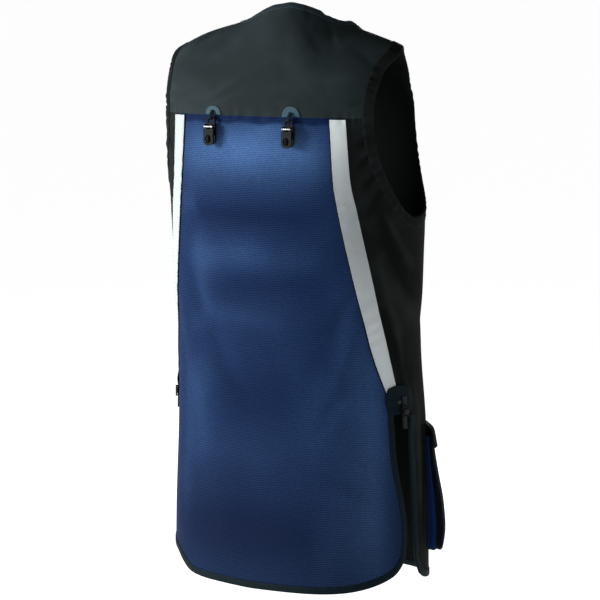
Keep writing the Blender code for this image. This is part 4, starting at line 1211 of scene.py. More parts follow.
@dataclass
class SideEdges:
    """The edge lines that the panels of one side share."""

    form: WornForm
    side: int
    fine: int = 6
    yoke_seam: float = -0.001
    vent_top: float = -0.398
    front_half_gap: float = 0.0062
    neck_half_width: float = 0.078
    neck_point: float = -0.032
    front_hem_rise: float = -0.632
    armhole_steps: int = 18
    seam_steps: int = 7
    vent_steps: int = 7
    neck_steps: int = 9
    corners: tuple[Pair, ...] = ((91.0, -0.1365), (73.2, -0.4), (88.3, -0.4), (93.2, -0.617))
    neck_places: tuple[Triple, ...] = (
        (0.8, 0.072, 0.15), (0.5, 0.056, 0.09), (0.2, 0.034, 0.03),
    )

    def __post_init__(self) -> None:
        """Cut every edge into its steps."""
        form, side, top = self.form, self.side, self.form.top_rise
        underarm, back_slit, front_slit, front_corner = self.corners
        back = curve([
            (63.6, top), (66.0, 0.172), (65.6, 0.14), (60.8, 0.104), (58.4, 0.07),
            (56.6, 0.036), (56.0, 0.006), (57.3, -0.022), (61.0, -0.05),
            (67.0, -0.078), (74.5, -0.103), (83.0, -0.124), underarm])
        front = curve([
            (116.4, top), (126.5, 0.16), (135.5, 0.115), (139.2, 0.06),
            (138.5, 0.01), (137.0, -0.025), (133.0, -0.066), (126.0, -0.098),
            (115.0, -0.121), (103.0, -0.133), underarm])
        seam = curve([
            (36.4, self.yoke_seam), (40.4, -0.082), (44.0, -0.12), (49.5, -0.17),
            (56.5, -0.235), (63.0, -0.287), (69.0, -0.34), (72.6, -0.378), back_slit])
        vent = curve([
            back_slit, (73.5, -0.43), (74.3, -0.458), (76.5, -0.485),
            (79.4, -0.513), (81.6, -0.541)] + self.tail_corner())
        hem = curve(self.tail_corner()[-1:] + self.tail_hem())
        side_seam = curve([underarm, (90.0, -0.2), (89.0, -0.3), front_slit])
        front_vent = curve([
            front_slit, (87.0, -0.425), (87.2, -0.462), (88.2, -0.516),
            (89.5, -0.571), (90.3, -0.6), front_corner])
        middle = form.turn_at(self.front_half_gap, self.front_hem_rise, True)
        front_hem = curve([
            front_corner, (99.0, -0.6245), (112.0, -0.628), (150.0, -0.63),
            (middle, self.front_hem_rise)])
        split = int(np.argmax(back[:, 1] < self.yoke_seam))
        meeting = back[split - 1:split].copy()
        meeting[0, 1] = self.yoke_seam
        self.armhole_high = self.cut(np.vstack([back[:split], meeting]), 8)
        self.armhole_low = self.cut(np.vstack([meeting, back[split:]]), 7)
        self.armhole_front = self.cut(front, self.armhole_steps)
        self.mesh_seam = self.cut(seam, 16)
        self.back_vent = self.cut(vent, 9)
        self.back_hem = self.cut(hem, 10)
        self.side_seam_back = self.cut(side_seam, 9)
        self.side_seam_front = self.cut(side_seam, self.seam_steps)
        self.front_vent = self.cut(front_vent, self.vent_steps)
        self.front_hem = self.cut(front_hem, 10)
        neck = [(form.turn_at(form.neck_shift * shift + side * out, rise, True), rise) for shift, out, rise in (
            (1.0, self.neck_half_width, top), *self.neck_places, (0.0, self.front_half_gap, self.neck_point))]
        self.neck_front = form.even(curve(neck), self.neck_steps * self.fine)
        rises = np.linspace(self.neck_point, self.front_hem_rise, 200)
        centre = [(form.turn_at(side * self.front_half_gap, rise, True), rise) for rise in rises]
        rows = self.armhole_steps + self.seam_steps + self.vent_steps - self.neck_steps
        self.centre_front = form.even(centre, rows * self.fine)

    def cut(self, line: Array, steps: int) -> Array:
        """A line of the wearer's left cut into its steps, on this side."""
        return on_side(self.form.even(line, steps * self.fine), self.side)

    def tail_corner(self) -> list[Pair]:
        """The lower end of the vent, which hangs a little higher on the left.

        Returns:
            Its last two places.
        """
        if self.side > 0:
            return [(82.1, -0.56), (81.2, -0.578)]
        return [(82.1, -0.566), (80.8, -0.59)]

    def tail_hem(self) -> list[Pair]:
        """The hem, which is lower on the right.

        Returns:
            Its places from the corner to the middle of the back.
        """
        if self.side > 0:
            return [(77.0, -0.588), (69.3, -0.595), (60.0, -0.6005), (50.4, -0.606),
                    (43.0, -0.616), (35.0, -0.6265), (26.0, -0.631), (12.0, -0.6335),
                    (0.0, -0.636)]
        return [(77.0, -0.604), (69.3, -0.616), (50.4, -0.629), (30.0, -0.635),
                (0.0, -0.636)]

    @property
    def name(self) -> str:
        """The side in words."""
        return "left" if self.side > 0 else "right"

    def neck_turn(self, front: bool) -> float:
        """The turn of the neck's side point on the shoulder seam."""
        return self.form.turn_at(self.form.neck_shift + self.side * self.neck_half_width,
                                 self.form.top_rise, front)

    def armhole(self) -> Array:
        """The whole armhole edge, closed."""
        return join(self.armhole_high, self.armhole_low, self.armhole_front[::-1])[:-1]


def moved_in(form: WornForm, line: Array, distance: float, hand: int, closed: bool = False) -> Array:
    """A line moved into its panel by a distance."""
    return line + form.inward(line, closed, hand) * distance


@dataclass
class VestPart:
    """What the sewn parts of the vest share: edges, seam gaps and how bindings are sewn."""

    tailor: Tailor
    left: SideEdges
    right: SideEdges
    binding_width: float = 0.008
    binding_waver: float = 0.00015
    sewing_inset: float = 0.0012
    binding_rise: float = 0.0009
    seam_turn: float = 0.004
    seam_rise: float = 0.00001
    seam_sewing_turn: float = 0.9

    def binding_sewing(self, path: Array, hand: int) -> tuple[Array, float]:
        """The line of sewing along a binding, with its lift."""
        inset = self.binding_width - self.sewing_inset
        return moved_in(self.tailor.form, path, inset, hand), self.tailor.cloth + self.binding_rise


@dataclass
class BackOfVest(VestPart):
    """Yoke, mesh panel, side panels, tapes and the back's bindings."""

    neck_back_depth: float = 0.045
    rows_under_patch: int = 4
    topstitches: Pair = (0.0016, 0.0075)
    topstitch_share: float = 0.985
    tape_width: float = 0.025
    tape_rows: int = 120
    tape_crown: float = 0.0002
    piping_radius: float = 0.001
    piping_lift: float = 0.0007
    piping_flatness: float = 0.7
    piping_out: float = 0.03
    tape_inset: float = 0.08
    tape_lift: float = 0.0019
    tape_thickness: float = 0.0009
    tape_inner: tuple[Pair, ...] = (
        (32.2, -0.003), (35.8, -0.082), (38.5, -0.117), (42.8, -0.162),
        (49.2, -0.222), (56.0, -0.277), (62.5, -0.327), (70.0, -0.372),
    )
    # Painted light on the wearer's right tape: lighter near its top and bottom, painted shade in the hollow
    # between.
    tape_painted_light: tuple[Fold, ...] = folds(
        (-38, -0.01, 0.08, 0.045, 0.38, 0), (-52, -0.145, 0.12, 0.07, -0.26, 0),
        (-66, -0.33, 0.12, 0.075, 0.34, 0),
    )
    tape_outer: tuple[Pair, ...] = (
        (40.5, -0.003), (45.0, -0.082), (49.5, -0.122), (56.2, -0.182),
        (63.8, -0.247), (70.5, -0.297), (77.5, -0.364),
    )

    def neck_line(self) -> Array:
        """The neck's edge on the yoke.

        Returns:
            Its places from the wearer's left to the right.
        """
        form = self.tailor.form
        places = []
        for s in np.linspace(0, math.pi, 181):
            x = form.neck_shift + self.left.neck_half_width * math.cos(s)
            turn = form.turn_at(x, 0.0)
            depth = float(form.body(turn, 0.0)[1])
            places.append((turn, form.shoulder_bend * math.acos(self.neck_back_depth * math.sin(s) / depth)))
        places[0] = (self.left.neck_turn(False), form.top_rise)
        places[-1] = (self.right.neck_turn(False), form.top_rise)
        return form.even(places, 12 * self.left.fine)

    def build_yoke(self) -> None:
        """The dark yoke with its topstitched seam."""
        tailor, form, fine = self.tailor, self.tailor.form, self.left.fine
        neck = self.neck_line()
        shift = np.array([0.0, -self.seam_rise])
        high = form.level(self.left.armhole_high[0, 0], neck[0, 0], form.top_rise, 4 * fine) + shift
        low = form.level(neck[-1, 0], self.right.armhole_high[0, 0], form.top_rise, 4 * fine) + shift
        top = join(high, neck + shift, low)
        seam = self.left.yoke_seam
        bottom = form.level(self.left.armhole_high[-1, 0], self.right.armhole_high[-1, 0],
                            seam + self.seam_rise, len(top) - 1)
        first, last = self.left.armhole_high.copy(), self.right.armhole_high.copy()
        first[0], last[0], first[-1], last[-1] = top[0], top[-1], bottom[0], bottom[-1]
        places = close_rows(patch(top, bottom, first, last), at_start=False)
        # Painted crease shade plus the yoke's painted light and shade patches.
        tone = form.nylon_painted_shade(places) + form.soft_sum(form.yoke_painted_light, places[..., 0], places[..., 1])
        yoke = tailor.shell("yoke_shell", places, 0.0, tailor.cloth, tone=tone)
        tailor.keep(yoke, "yoke_nylon", Slot.NYLON, ["back_yoke"])
        rows = []
        share = self.topstitch_share
        for offset in self.topstitches:
            line = form.level(first[-1, 0] * share, last[-1, 0] * share, seam + offset, 160)
            rows.append((line, tailor.cloth))
        thread = tailor.stitches("yoke_stitching", rows)

    def build_mesh(self) -> None:
        """The mesh panel with its hem and vent binding."""
        tailor, form = self.tailor, self.tailor.form
        seam = self.left.yoke_seam
        top = form.level(self.left.mesh_seam[0, 0] - self.seam_turn, self.right.mesh_seam[0, 0] + self.seam_turn,
                         seam - self.seam_rise, 20 * self.left.fine)
        borders = []
        for edges in (self.left, self.right):
            shift = np.array([-edges.side * self.seam_turn, 0.0])
            borders.append(join(edges.mesh_seam + shift, edges.back_vent + shift))
        borders[0][0], borders[1][0] = top[0], top[-1]
        bottom = join(self.left.back_hem, self.right.back_hem[::-1])
        bottom[0], bottom[-1] = borders[0][-1], borders[1][-1]
        places = close_rows(patch(top, bottom, borders[0], borders[1]), at_start=True)
        # The mesh carries painted light and shade.
        panel = tailor.shell("mesh_shell", places, 0.0, tailor.cloth, tone=form.tone(places, seam))
        tailor.keep(panel, "back_mesh", Slot.MESH, ["back_mesh_panel"])
        start = len(self.left.mesh_seam)
        tucked = start - self.rows_under_patch
        path = join(borders[0][tucked:], bottom, borders[1][tucked:][::-1])
        hem = tailor.band("tail_binding", path, self.binding_width, 1, waver=self.binding_waver)
        tailor.keep(hem, "edge_binding", Slot.BINDING, ["back_hem_binding"])
        thread = tailor.stitches("tail_stitching", [self.binding_sewing(path, 1)], Slot.BINDING)

    def build_sides(self) -> None:
        """Both dark side panels."""
        tailor, form = self.tailor, self.tailor.form
        for edges in (self.left, self.right):
            first = edges.mesh_seam + np.array([edges.side * self.seam_turn, 0.0])
            seam = edges.side_seam_back + np.array([-edges.side * self.seam_turn, 0.0])
            last = join(edges.armhole_low, seam)
            last[len(edges.armhole_low) - 1] = seam[0]
            top = form.level(first[0, 0], last[0, 0], edges.yoke_seam - self.seam_rise, 6 * edges.fine)
            first[-1, 1] = last[-1, 1] = edges.vent_top
            bottom = form.level(first[-1, 0], last[-1, 0], edges.vent_top, 6 * edges.fine)
            first[0], last[0] = top[0], top[-1]
            panel = tailor.shell("side_shell_" + edges.name, patch(top, bottom, first, last), 0.0, tailor.cloth)
            tailor.keep(panel, "side_nylon", Slot.NYLON, ["back_side_panel_" + edges.name])
            sewing = seam + np.array([-edges.side * self.seam_sewing_turn, 0.0])
            thread = tailor.stitches("side_stitching_" + edges.name, [(sewing, tailor.cloth)])

    def build_tapes(self) -> None:
        """Both pale tapes, with a dark piped inner edge."""
        tailor, form = self.tailor, self.tailor.form
        for edges in (self.left, self.right):
            inner, outer = (on_side(form.even(curve(line), self.tape_rows), edges.side)
                            for line in (self.tape_inner, self.tape_outer))
            across = np.linspace(0, 1, 9)
            places = inner[:, None] * (1 - across)[None, :, None] + outer[:, None] * across[None, :, None]
            crown = self.tape_crown * (1 - (2 * across - 1) ** 2)
            measure = np.stack(np.meshgrid(across * self.tape_width, form.run(inner)), -1)
            low = np.broadcast_to(self.tape_lift, places.shape[:2])
            # The tape carries painted light and shade.
            tone = 0.5 + form.soft_sum(self.tape_painted_light, places[..., 0], places[..., 1])
            tape = tailor.shell("tape_shell_" + edges.name, places, low,
                                low + self.tape_thickness + crown[None], measure, tone)
            tailor.keep(tape, "pale_tape", Slot.TAPE, ["back_tape_" + edges.name])
            top = self.tape_lift + self.tape_thickness
            inset = (outer - inner) * self.tape_inset
            lines = [(inner + inset, top), (outer - inset, top)]
            thread = tailor.stitches("tape_stitching_" + edges.name, lines, Slot.TAPE, "pale_thread")
            edge = inner - (outer - inner) * self.piping_out
            piping = self.cord_on(edge, "tape_piping_" + edges.name)
            tailor.keep(piping, "edge_binding", Slot.BINDING)

    def cord_on(self, line: Array, name: str) -> Piece:
        """A thin round piping on the cloth.

        Args:
            line: Its line.
            name: Its name.

        Returns:
            The new object.
        """
        form, radius = self.tailor.form, self.piping_radius
        lift = self.tailor.cloth + self.piping_lift
        angles = np.arange(8) / 8 * TAU
        steps = form.inward(line, False, 1)
        places = line[:, None] + steps[:, None] * (radius * np.cos(angles))[None, :, None]
        rings = form.cloth(places, lift + radius * self.piping_flatness * np.sin(angles)[None])
        return self.tailor.sweep(name, rings, False, angles * radius, form.run(line))


@dataclass
class FrontOfVest(VestPart):
    """The fronts with their hem and vent bindings."""

    zip_sewing_turn: float = 1.4
    shoulder_sewing: float = 0.002

    def build_fronts(self) -> None:
        """Both fronts with their hem and vent bindings."""
        tailor, form = self.tailor, self.tailor.form
        for edges in (self.left, self.right):
            shift = np.array([edges.side * self.seam_turn, 0.0])
            seam = edges.side_seam_front + shift
            first = join(edges.armhole_front, seam, edges.front_vent + shift)
            corner = len(edges.armhole_front) - 1
            first[corner] = seam[0]
            last = join(edges.neck_front, edges.centre_front)
            top = form.level(first[0, 0], last[0, 0], form.top_rise - self.seam_rise, 10 * edges.fine)
            bottom = edges.front_hem.copy()
            first[0], last[0], bottom[0], bottom[-1] = top[0], top[-1], first[-1], last[-1]
            panel = tailor.shell("front_shell_" + edges.name, patch(top, bottom, first, last), 0.0, tailor.cloth)
            tailor.keep(panel, "side_nylon", Slot.NYLON, ["front_panel_" + edges.name])
            start = corner + len(edges.side_seam_front) - 1
            path = join(first[start:], bottom)
            hem = tailor.band("front_binding_" + edges.name, path, self.binding_width, -edges.side,
                              waver=self.binding_waver)
            tailor.keep(hem, "edge_binding", Slot.BINDING, ["front_hem_binding_" + edges.name])
            beside = edges.centre_front + np.array([-edges.side * self.zip_sewing_turn, 0.0])
            flank = edges.side_seam_front + np.array([edges.side * self.seam_sewing_turn, 0.0])
            shoulder = form.level(first[0, 0], last[0, 0], form.top_rise - self.shoulder_sewing, 60)
            rows = [self.binding_sewing(path, -edges.side)]
            rows += [(line, tailor.cloth) for line in (beside, flank, shoulder)]
            thread = tailor.stitches("front_stitching_" + edges.name, rows)


@dataclass
class EdgesOfVest(VestPart):
    """The neck binding and the wide puckered armhole bands."""

    neck: Array = field(kw_only=True)
    neck_waver: float = 0.0001
    rows_short_of_zip: int = 4
    band_width: float = 0.013
    band_leaf: float = 0.01
    band_waver: float = 0.00048
    band_ripple: float = 0.0092
    band_sewing: float = 0.0014
    band_rise: float = 0.001

    def build(self) -> None:
        """Bind the neck and both armholes."""
        tailor, form = self.tailor, self.tailor.form
        end = self.rows_short_of_zip
        path = join(self.left.neck_front[::-1][end:], self.neck, self.right.neck_front[:-end])
        binding = tailor.band("neck_band", path, self.binding_width, -1, waver=self.neck_waver)
        tailor.keep(binding, "neck_binding_cloth", Slot.BINDING, ["neck_binding"])
        thread = tailor.stitches("neck_stitching", [self.binding_sewing(path, -1)], Slot.BINDING)
        for edges in (self.left, self.right):
            line = edges.armhole()
            band = tailor.band("armhole_fold_" + edges.name, line, self.band_width, edges.side, closed=True,
                               inner_leaf=self.band_leaf, waver=self.band_waver, ripple=self.band_ripple)
            tailor.keep(band, "band_nylon", Slot.NYLON, ["armhole_band_" + edges.name])
            rows = []
            for inset in (self.band_sewing, self.band_width - self.band_sewing):
                moved = moved_in(form, line, inset, edges.side, closed=True)
                rows.append((np.vstack([moved, moved[:1]]), tailor.cloth + self.band_rise))
            thread = tailor.stitches("armhole_stitching_" + edges.name, rows)


@dataclass
class Pocket:
    """One bellows pocket: ribbed mesh gusset, dark face and stitched flap."""

    tailor: Tailor
    edges: SideEdges
    rear: float = 106.0
    front: float = 159.0
    mouth: float = -0.436
    bottom: float = -0.5935
    corner: Place = Place(6.0, 0.018)
    wall: float = 0.0012
    depths: tuple[Standing, ...] = (
        Standing(-0.6, 0.0165), Standing(-0.585, 0.0205), Standing(-0.565, 0.0225),
        Standing(-0.53, 0.02), Standing(-0.49, 0.014), Standing(-0.46, 0.0105),
        Standing(-0.43, 0.0085),
    )
    flap: tuple[Standing, ...] = (
        Standing(-0.42, 0.002), Standing(-0.4235, 0.006), Standing(-0.429, 0.0105),
        Standing(-0.437, 0.0119), Standing(-0.453, 0.0127),
    )
    flap_spare: float = 1.2
    flap_rows: int = 40
    flap_sewn_rows: tuple[int, int] = (36, 2)
    flap_belly: float = 0.0026
    sag: float = 0.0016
    gusset_depth: float = 0.02
    seat: float = 0.0006
    face_gap: float = 0.0003
    belly: float = 0.0022
    rim_inset: float = 0.003
    rim_rise: float = 0.0002
    rim_parts: int = 12

    def border(self) -> tuple[Array, Array, Array]:
        """The three sewn sides.

        Returns:
            The rear, bottom and front lines.
        """
        form, fine, side = self.tailor.form, self.edges.fine, self.edges.side
        wide, tall = self.corner
        rear_middle = (self.rear + wide, self.bottom + tall)
        front_middle = (self.front - wide, self.bottom + tall)
        rear = [(self.rear, self.mouth), (self.rear, self.bottom + tall)]
        rear_line = form.even(rear + arc(rear_middle, wide, tall, 180, 225, 8)[1:], 8 * fine)
        low = arc(rear_middle, wide, tall, 225, 270, 8) + arc(front_middle, wide, tall, 270, 315, 8)
        bottom_line = form.even(low, 10 * fine)
        front = arc(front_middle, wide, tall, 315, 360, 8) + [(self.front, self.mouth)]
        front_line = form.even(front, 8 * fine)[::-1]
        return on_side(rear_line, side), on_side(bottom_line, side), on_side(front_line, side)

    def build(self) -> None:
        """Sew the gusset, the face and the flap."""
        rear, bottom, front = self.border()
        path = join(rear, bottom, front[::-1])
        self.build_gusset(path)
        top = self.tailor.form.level(rear[0, 0], front[0, 0], self.mouth, 10 * self.edges.fine)
        self.build_face(patch(top, bottom, rear, front), path)
        self.build_flap()

    def build_gusset(self, path: Array) -> None:
        """The pleated gusset.

        Args:
            path: Its sewn line on the front.
        """
        tailor, form, edges = self.tailor, self.tailor.form, self.edges
        steps = form.inward(path, False, edges.side)
        depth = through(path[:, 1], self.depths, "depth")[:, None]
        base = tailor.cloth + self.seat
        levels = np.linspace(0, 1, 9)
        pleat = self.sag * np.sin(levels * math.pi) ** 2 * np.cos(levels * math.pi * 3)
        into = np.concatenate([-pleat, (self.wall - pleat)[::-1]])
        there_and_back = np.concatenate([levels, levels[::-1]])
        places = path[:, None] + steps[:, None] * into[None, :, None]
        rings = form.cloth(places, base + (depth - base) * there_and_back[None])
        gusset = tailor.sweep("gusset_shell_" + edges.name, rings, False, there_and_back * self.gusset_depth,
                              form.run(path))
        tailor.keep(gusset, "bellows_mesh", Slot.BELLOWS, ["pocket_gusset_" + edges.name])

    def build_face(self, places: Array, path: Array) -> None:
        """The face with its stitching.

        Args:
            places: Grid of the face.
            path: Its sewn line.
        """
        tailor, edges = self.tailor, self.edges
        s = np.linspace(-1, 1, places.shape[1])[None]
        t = np.linspace(0, 1, places.shape[0])[:, None]
        belly = self.belly * (1 - s ** 2) * np.sin(t * math.pi)
        low = through(places[..., 1], self.depths, "depth") + self.face_gap + belly
        face = tailor.shell("pocket_shell_" + edges.name, places, low, low + self.wall)
        tailor.keep(face, "pocket_nylon", Slot.NYLON, ["pocket_face_" + edges.name])
        rim = moved_in(tailor.form, path, self.rim_inset, edges.side)
        lift = through(rim[:, 1], self.depths, "depth") + self.face_gap + self.wall + self.rim_rise
        thread = self.rim_stitches(rim, lift)

    def rim_stitches(self, rim: Array, lift: Array) -> Piece:
        """Stitching round the pocket's face, which stands higher towards the bottom.

        Args:
            rim: Its line.
            lift: Its lift at each place.

        Returns:
            The new object.
        """
        cuts = np.linspace(0, len(rim) - 1, self.rim_parts + 1).astype(int)
        lines = [(rim[a:b + 1], float(lift[a:b + 1].mean())) for a, b in zip(cuts[:-1], cuts[1:])]
        return self.tailor.stitches("pocket_stitching_" + self.edges.name, lines)

    def build_flap(self) -> None:
        """The flap over the mouth, rounded over its sewn edge."""
        tailor, form, edges = self.tailor, self.tailor.form, self.edges
        ends = (edges.side * (self.rear - self.flap_spare), edges.side * (self.front + self.flap_spare))
        rises = np.linspace(self.flap[0].rise, self.flap[-1].rise, self.flap_rows)
        rows = np.stack([form.level(ends[0], ends[1], rise, 10 * edges.fine) for rise in rises])
        s = np.linspace(-1, 1, rows.shape[1])[None]
        t = np.linspace(0, 1, len(rises))[:, None]
        lift = through(rises, self.flap, "depth")[:, None] + self.flap_belly * (1 - s ** 4) * t ** 2
        flap = tailor.shell("flap_shell_" + edges.name, rows, lift, lift + tailor.cloth)
        tailor.keep(flap, "pocket_nylon", Slot.NYLON, ["pocket_flap_" + edges.name])
        lines = [(rows[k], float(lift[k].mean()) + tailor.cloth) for k in self.flap_sewn_rows]
        thread = tailor.stitches("flap_stitching_" + edges.name, lines)


@dataclass
class Adjuster:
    """The strap adjuster at the top of a vent: patch, rivet, ladder buckle and strap."""

    tailor: Tailor
    edges: SideEdges
    lift: float
    tail: float
    patch_middle: Place = Place(78.4, -0.3775)
    patch_half: Place = Place(10.4, 0.0195)
    patch_lift: float = 0.0037
    patch_thickness: float = 0.0008
    patch_crown: float = 0.0003
    patch_squareness: float = 0.36
    patch_steps: int = 26
    rim_share: float = 0.88
    buckle: Place = Place(81.3, -0.3935)
    buckle_height: float = 0.015
    buckle_thickness: float = 0.0016
    buckle_edge: float = 0.0005
    slot_middle: float = 0.0035
    slot_half: float = 0.0009
    strap_width: float = 0.009
    strap_thickness: float = 0.001
    strap_above: float = 0.02
    strap_below: float = 0.0235
    strap_steps: int = 6
    strap_gap: float = 0.0003
    strap_over_patch: float = 0.0013
    strap_sewn: float = 0.004

    def build(self) -> None:
        """Make the soft pieces: the patch with its stitching, and the strap."""
        tailor, edges = self.tailor, self.edges
        count = self.patch_steps + 1
        u, v = np.meshgrid(np.linspace(-1, 1, count), np.linspace(1, -1, count))
        middle = np.array([edges.side * self.patch_middle.turn, self.patch_middle.rise])
        reach = np.array([edges.side * self.patch_half.turn, self.patch_half.rise])
        square = self.patch_squareness
        rounded = np.stack([u * np.sqrt(1 - square * v ** 2), v * np.sqrt(1 - square * u ** 2)], -1)
        places = middle + reach * rounded
        rounding = self.patch_crown * (1 - np.maximum(np.abs(u), np.abs(v)) ** 6)
        piece = tailor.shell("patch_shell_" + edges.name, places, self.patch_lift,
                             self.patch_lift + self.patch_thickness + rounding)
        tailor.keep(piece, "edge_binding", Slot.BINDING, ["adjuster_patch_" + edges.name])
        rim = np.vstack([places[0], places[1:, -1], places[-1, -2::-1], places[-2::-1, 0]])
        top = self.patch_lift + self.patch_thickness + self.patch_crown
        thread = tailor.stitches("patch_stitching_" + edges.name, [(middle + (rim - middle) * self.rim_share, top)],
                                 Slot.BINDING, length=0.0018, pitch=0.0027)
        self.build_strap()

    def local(self) -> Matrix:
        """The buckle's frame.

        Returns:
            Its axes across, outward and up, with its place.
        """
        form = self.tailor.form
        place = np.array([self.edges.side * self.buckle.turn, self.buckle.rise])
        origin = Vector(form.body(*place) + form.outward(*place) * self.lift)
        out = Vector(form.outward(*place))
        out.z = 0.0
        out.normalize()
        up = Vector((0.0, 0.0, 1.0))
        made = Matrix((out.cross(up).normalized(), out, up)).transposed().to_4x4()
        made.translation = origin
        return made

    def build_strap(self) -> None:
        """The strap that weaves through the buckle on one smooth path."""
        step = self.buckle_thickness / 2 + self.strap_gap + self.strap_thickness / 2
        start = self.patch_lift + self.strap_over_patch + self.strap_thickness / 2 - self.lift
        near, far = self.slot_middle + self.slot_half, self.slot_middle - self.slot_half
        path = [(start, self.strap_above), (start, self.strap_above - self.strap_sewn),
                (-step, self.buckle_height / 2 + self.buckle_edge), (-step, near), (step, far), (step, -far),
                (-step, -near), (-step + self.tail / 2, -self.strap_below * 0.6),
                (-step + self.tail, -self.strap_below)]
        fine = []
        for (a, b), (c, d) in zip(path[:-1], path[1:]):
            for s in np.linspace(0, 1, self.strap_steps + 1)[:-1]:
                soft = s * s * (3 - 2 * s)
                fine.append((a + (c - a) * soft, b + (d - b) * s))
        fine.append(path[-1])
        line = np.array(fine)
        local = self.local()

        def place(rings: Array) -> Array:
            """Points in the buckle's frame, moved onto the vest."""
            return np.array([[local @ Vector(point) for point in ring] for ring in rings])

        strap = self.tailor.ribbon("strap_shell_" + self.edges.name, line, self.strap_width / 2,
                                   self.strap_thickness, 0.9, 0.5, place)
        self.tailor.keep(strap, "strap_webbing", Slot.BINDING, ["adjuster_strap_" + self.edges.name])


@dataclass
class HangingClip:
    """The cloth tab, the cloth loop and the steel bar of a hanging clip."""

    tailor: Tailor
    side: int
    out: float = 0.062
    tab_half_width: float = 0.0122
    tab_height: float = 0.0112
    tab_tuck: float = 0.0006
    tab_gap: float = 0.0003
    tab_thickness: float = 0.0009
    tab_roundness: float = 2.2
    tab_full: float = 0.97
    tab_rim: float = 0.84
    loop_inner: float = 0.002
    loop_thickness: float = 0.001
    loop_width: float = 0.004
    loop_top: float = 0.0105
    loop_face: Pair = (0.008, 0.0016)
    loop_gap: float = 0.0003
    yoke_seam: float = -0.001
    bar_below_seam: float = 0.0035
    bar_lift: float = 0.0072
    pin_height: float = -0.146
    pin_reach: float = 0.006
    steel_half: Triple = (0.0068, 0.0004, 0.0008)

    @property
    def name(self) -> str:
        """The side in words."""
        return "left" if self.side > 0 else "right"

    def build(self) -> None:
        """Make the tab, the loop and the bar."""
        self.build_tab()
        self.build_loop()
        self.build_bar()

    def build_bar(self) -> None:
        """The bright steel bar across the lever's face, at its pin."""
        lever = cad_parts["clip_lever_" + self.name]
        corners = np.array([lever.matrix_world @ vertex.co for vertex in lever.data.vertices])
        level = corners[np.abs(corners[:, 2] - self.pin_height) < self.pin_reach]
        face = float(level[:, 1].max())
        half = self.steel_half
        middle = (self.side * self.out, face + half[1] * 0.5, self.pin_height)
        signs = ((-1, -1, -1), (1, -1, -1), (1, 1, -1), (-1, 1, -1),
                 (-1, -1, 1), (1, -1, 1), (1, 1, 1), (-1, 1, 1))
        points = np.array(middle) + np.array(half) * np.array(signs)
        bar = mesh_object("steel_bar_" + self.name, points, [ring[::-1] for ring in BOX_FACES], None, sharp=30)
        self.tailor.keep(bar, "bright_steel", Slot.STEEL, body="lever_" + self.name)

    def build_tab(self) -> None:
        """The half-round tab, stitched along its rim."""
        tailor, form = self.tailor, self.tailor.form
        middle = form.turn_at(self.side * self.out, 0.0)
        half = abs(form.turn_at(self.side * (self.out + self.tab_half_width), 0.0) - middle)
        u = np.linspace(-1, 1, 25)
        v = np.linspace(0, 1, 21)
        wide = half * np.sqrt(np.maximum(1 - (v * self.tab_full) ** self.tab_roundness, 0))
        rise = (self.tab_height + self.tab_tuck) * v - self.tab_tuck
        places = np.stack([middle + wide[:, None] * u[None], np.repeat(rise[:, None], len(u), 1)], -1)
        lift = tailor.cloth + self.tab_gap
        tab = tailor.shell("tab_shell_" + self.name, places, lift, lift + self.tab_thickness)
        tailor.keep(tab, "tab_cloth", Slot.BINDING, ["clip_tab_" + self.name])
        angle = np.linspace(0.12, math.pi - 0.12, 40)
        rim = np.stack([middle + half * self.tab_rim * np.cos(angle),
                        self.tab_height * self.tab_rim * np.sin(angle)], -1)
        thread = tailor.stitches("tab_stitching_" + self.name, [(rim, lift + self.tab_thickness)], Slot.BINDING,
                                 length=0.0014, pitch=0.0021)

    def build_loop(self) -> None:
        """The narrow loop, folded round the clip's bar."""
        form = self.tailor.form
        rise = self.yoke_seam - self.bar_below_seam
        x = self.side * self.out
        at = form.cloth(np.array([form.turn_at(x, rise), rise]), np.array(self.bar_lift))
        high, lift = self.loop_face
        face = form.cloth(np.array([form.turn_at(x, high), high]), np.array(self.tailor.cloth + lift))[1]
        back = face - at[1] + self.loop_gap
        centre = self.loop_inner + self.loop_thickness / 2
        line = arc((0.0, 0.0), centre, centre, 180, 360, 16)
        tip = back + self.loop_thickness / 2
        line += [(centre * 0.6 + tip * 0.4, 0.0052), (tip + 0.0009, 0.0086), (tip + 0.0006, self.loop_top)]
        front = [(tip + 0.0003, self.loop_top), (tip * 0.7 - centre * 0.3, 0.006)]
        line = front + line
        origin = np.array([x, at[1], form.chest_line + rise])
        loop = self.tailor.ribbon("loop_shell_" + self.name, np.array(line), self.loop_width / 2,
                                  self.loop_thickness * 0.8, 0.8, 0.6, lambda rings: rings + origin)
        self.tailor.keep(loop, "edge_binding", Slot.BINDING, ["clip_loop_" + self.name])


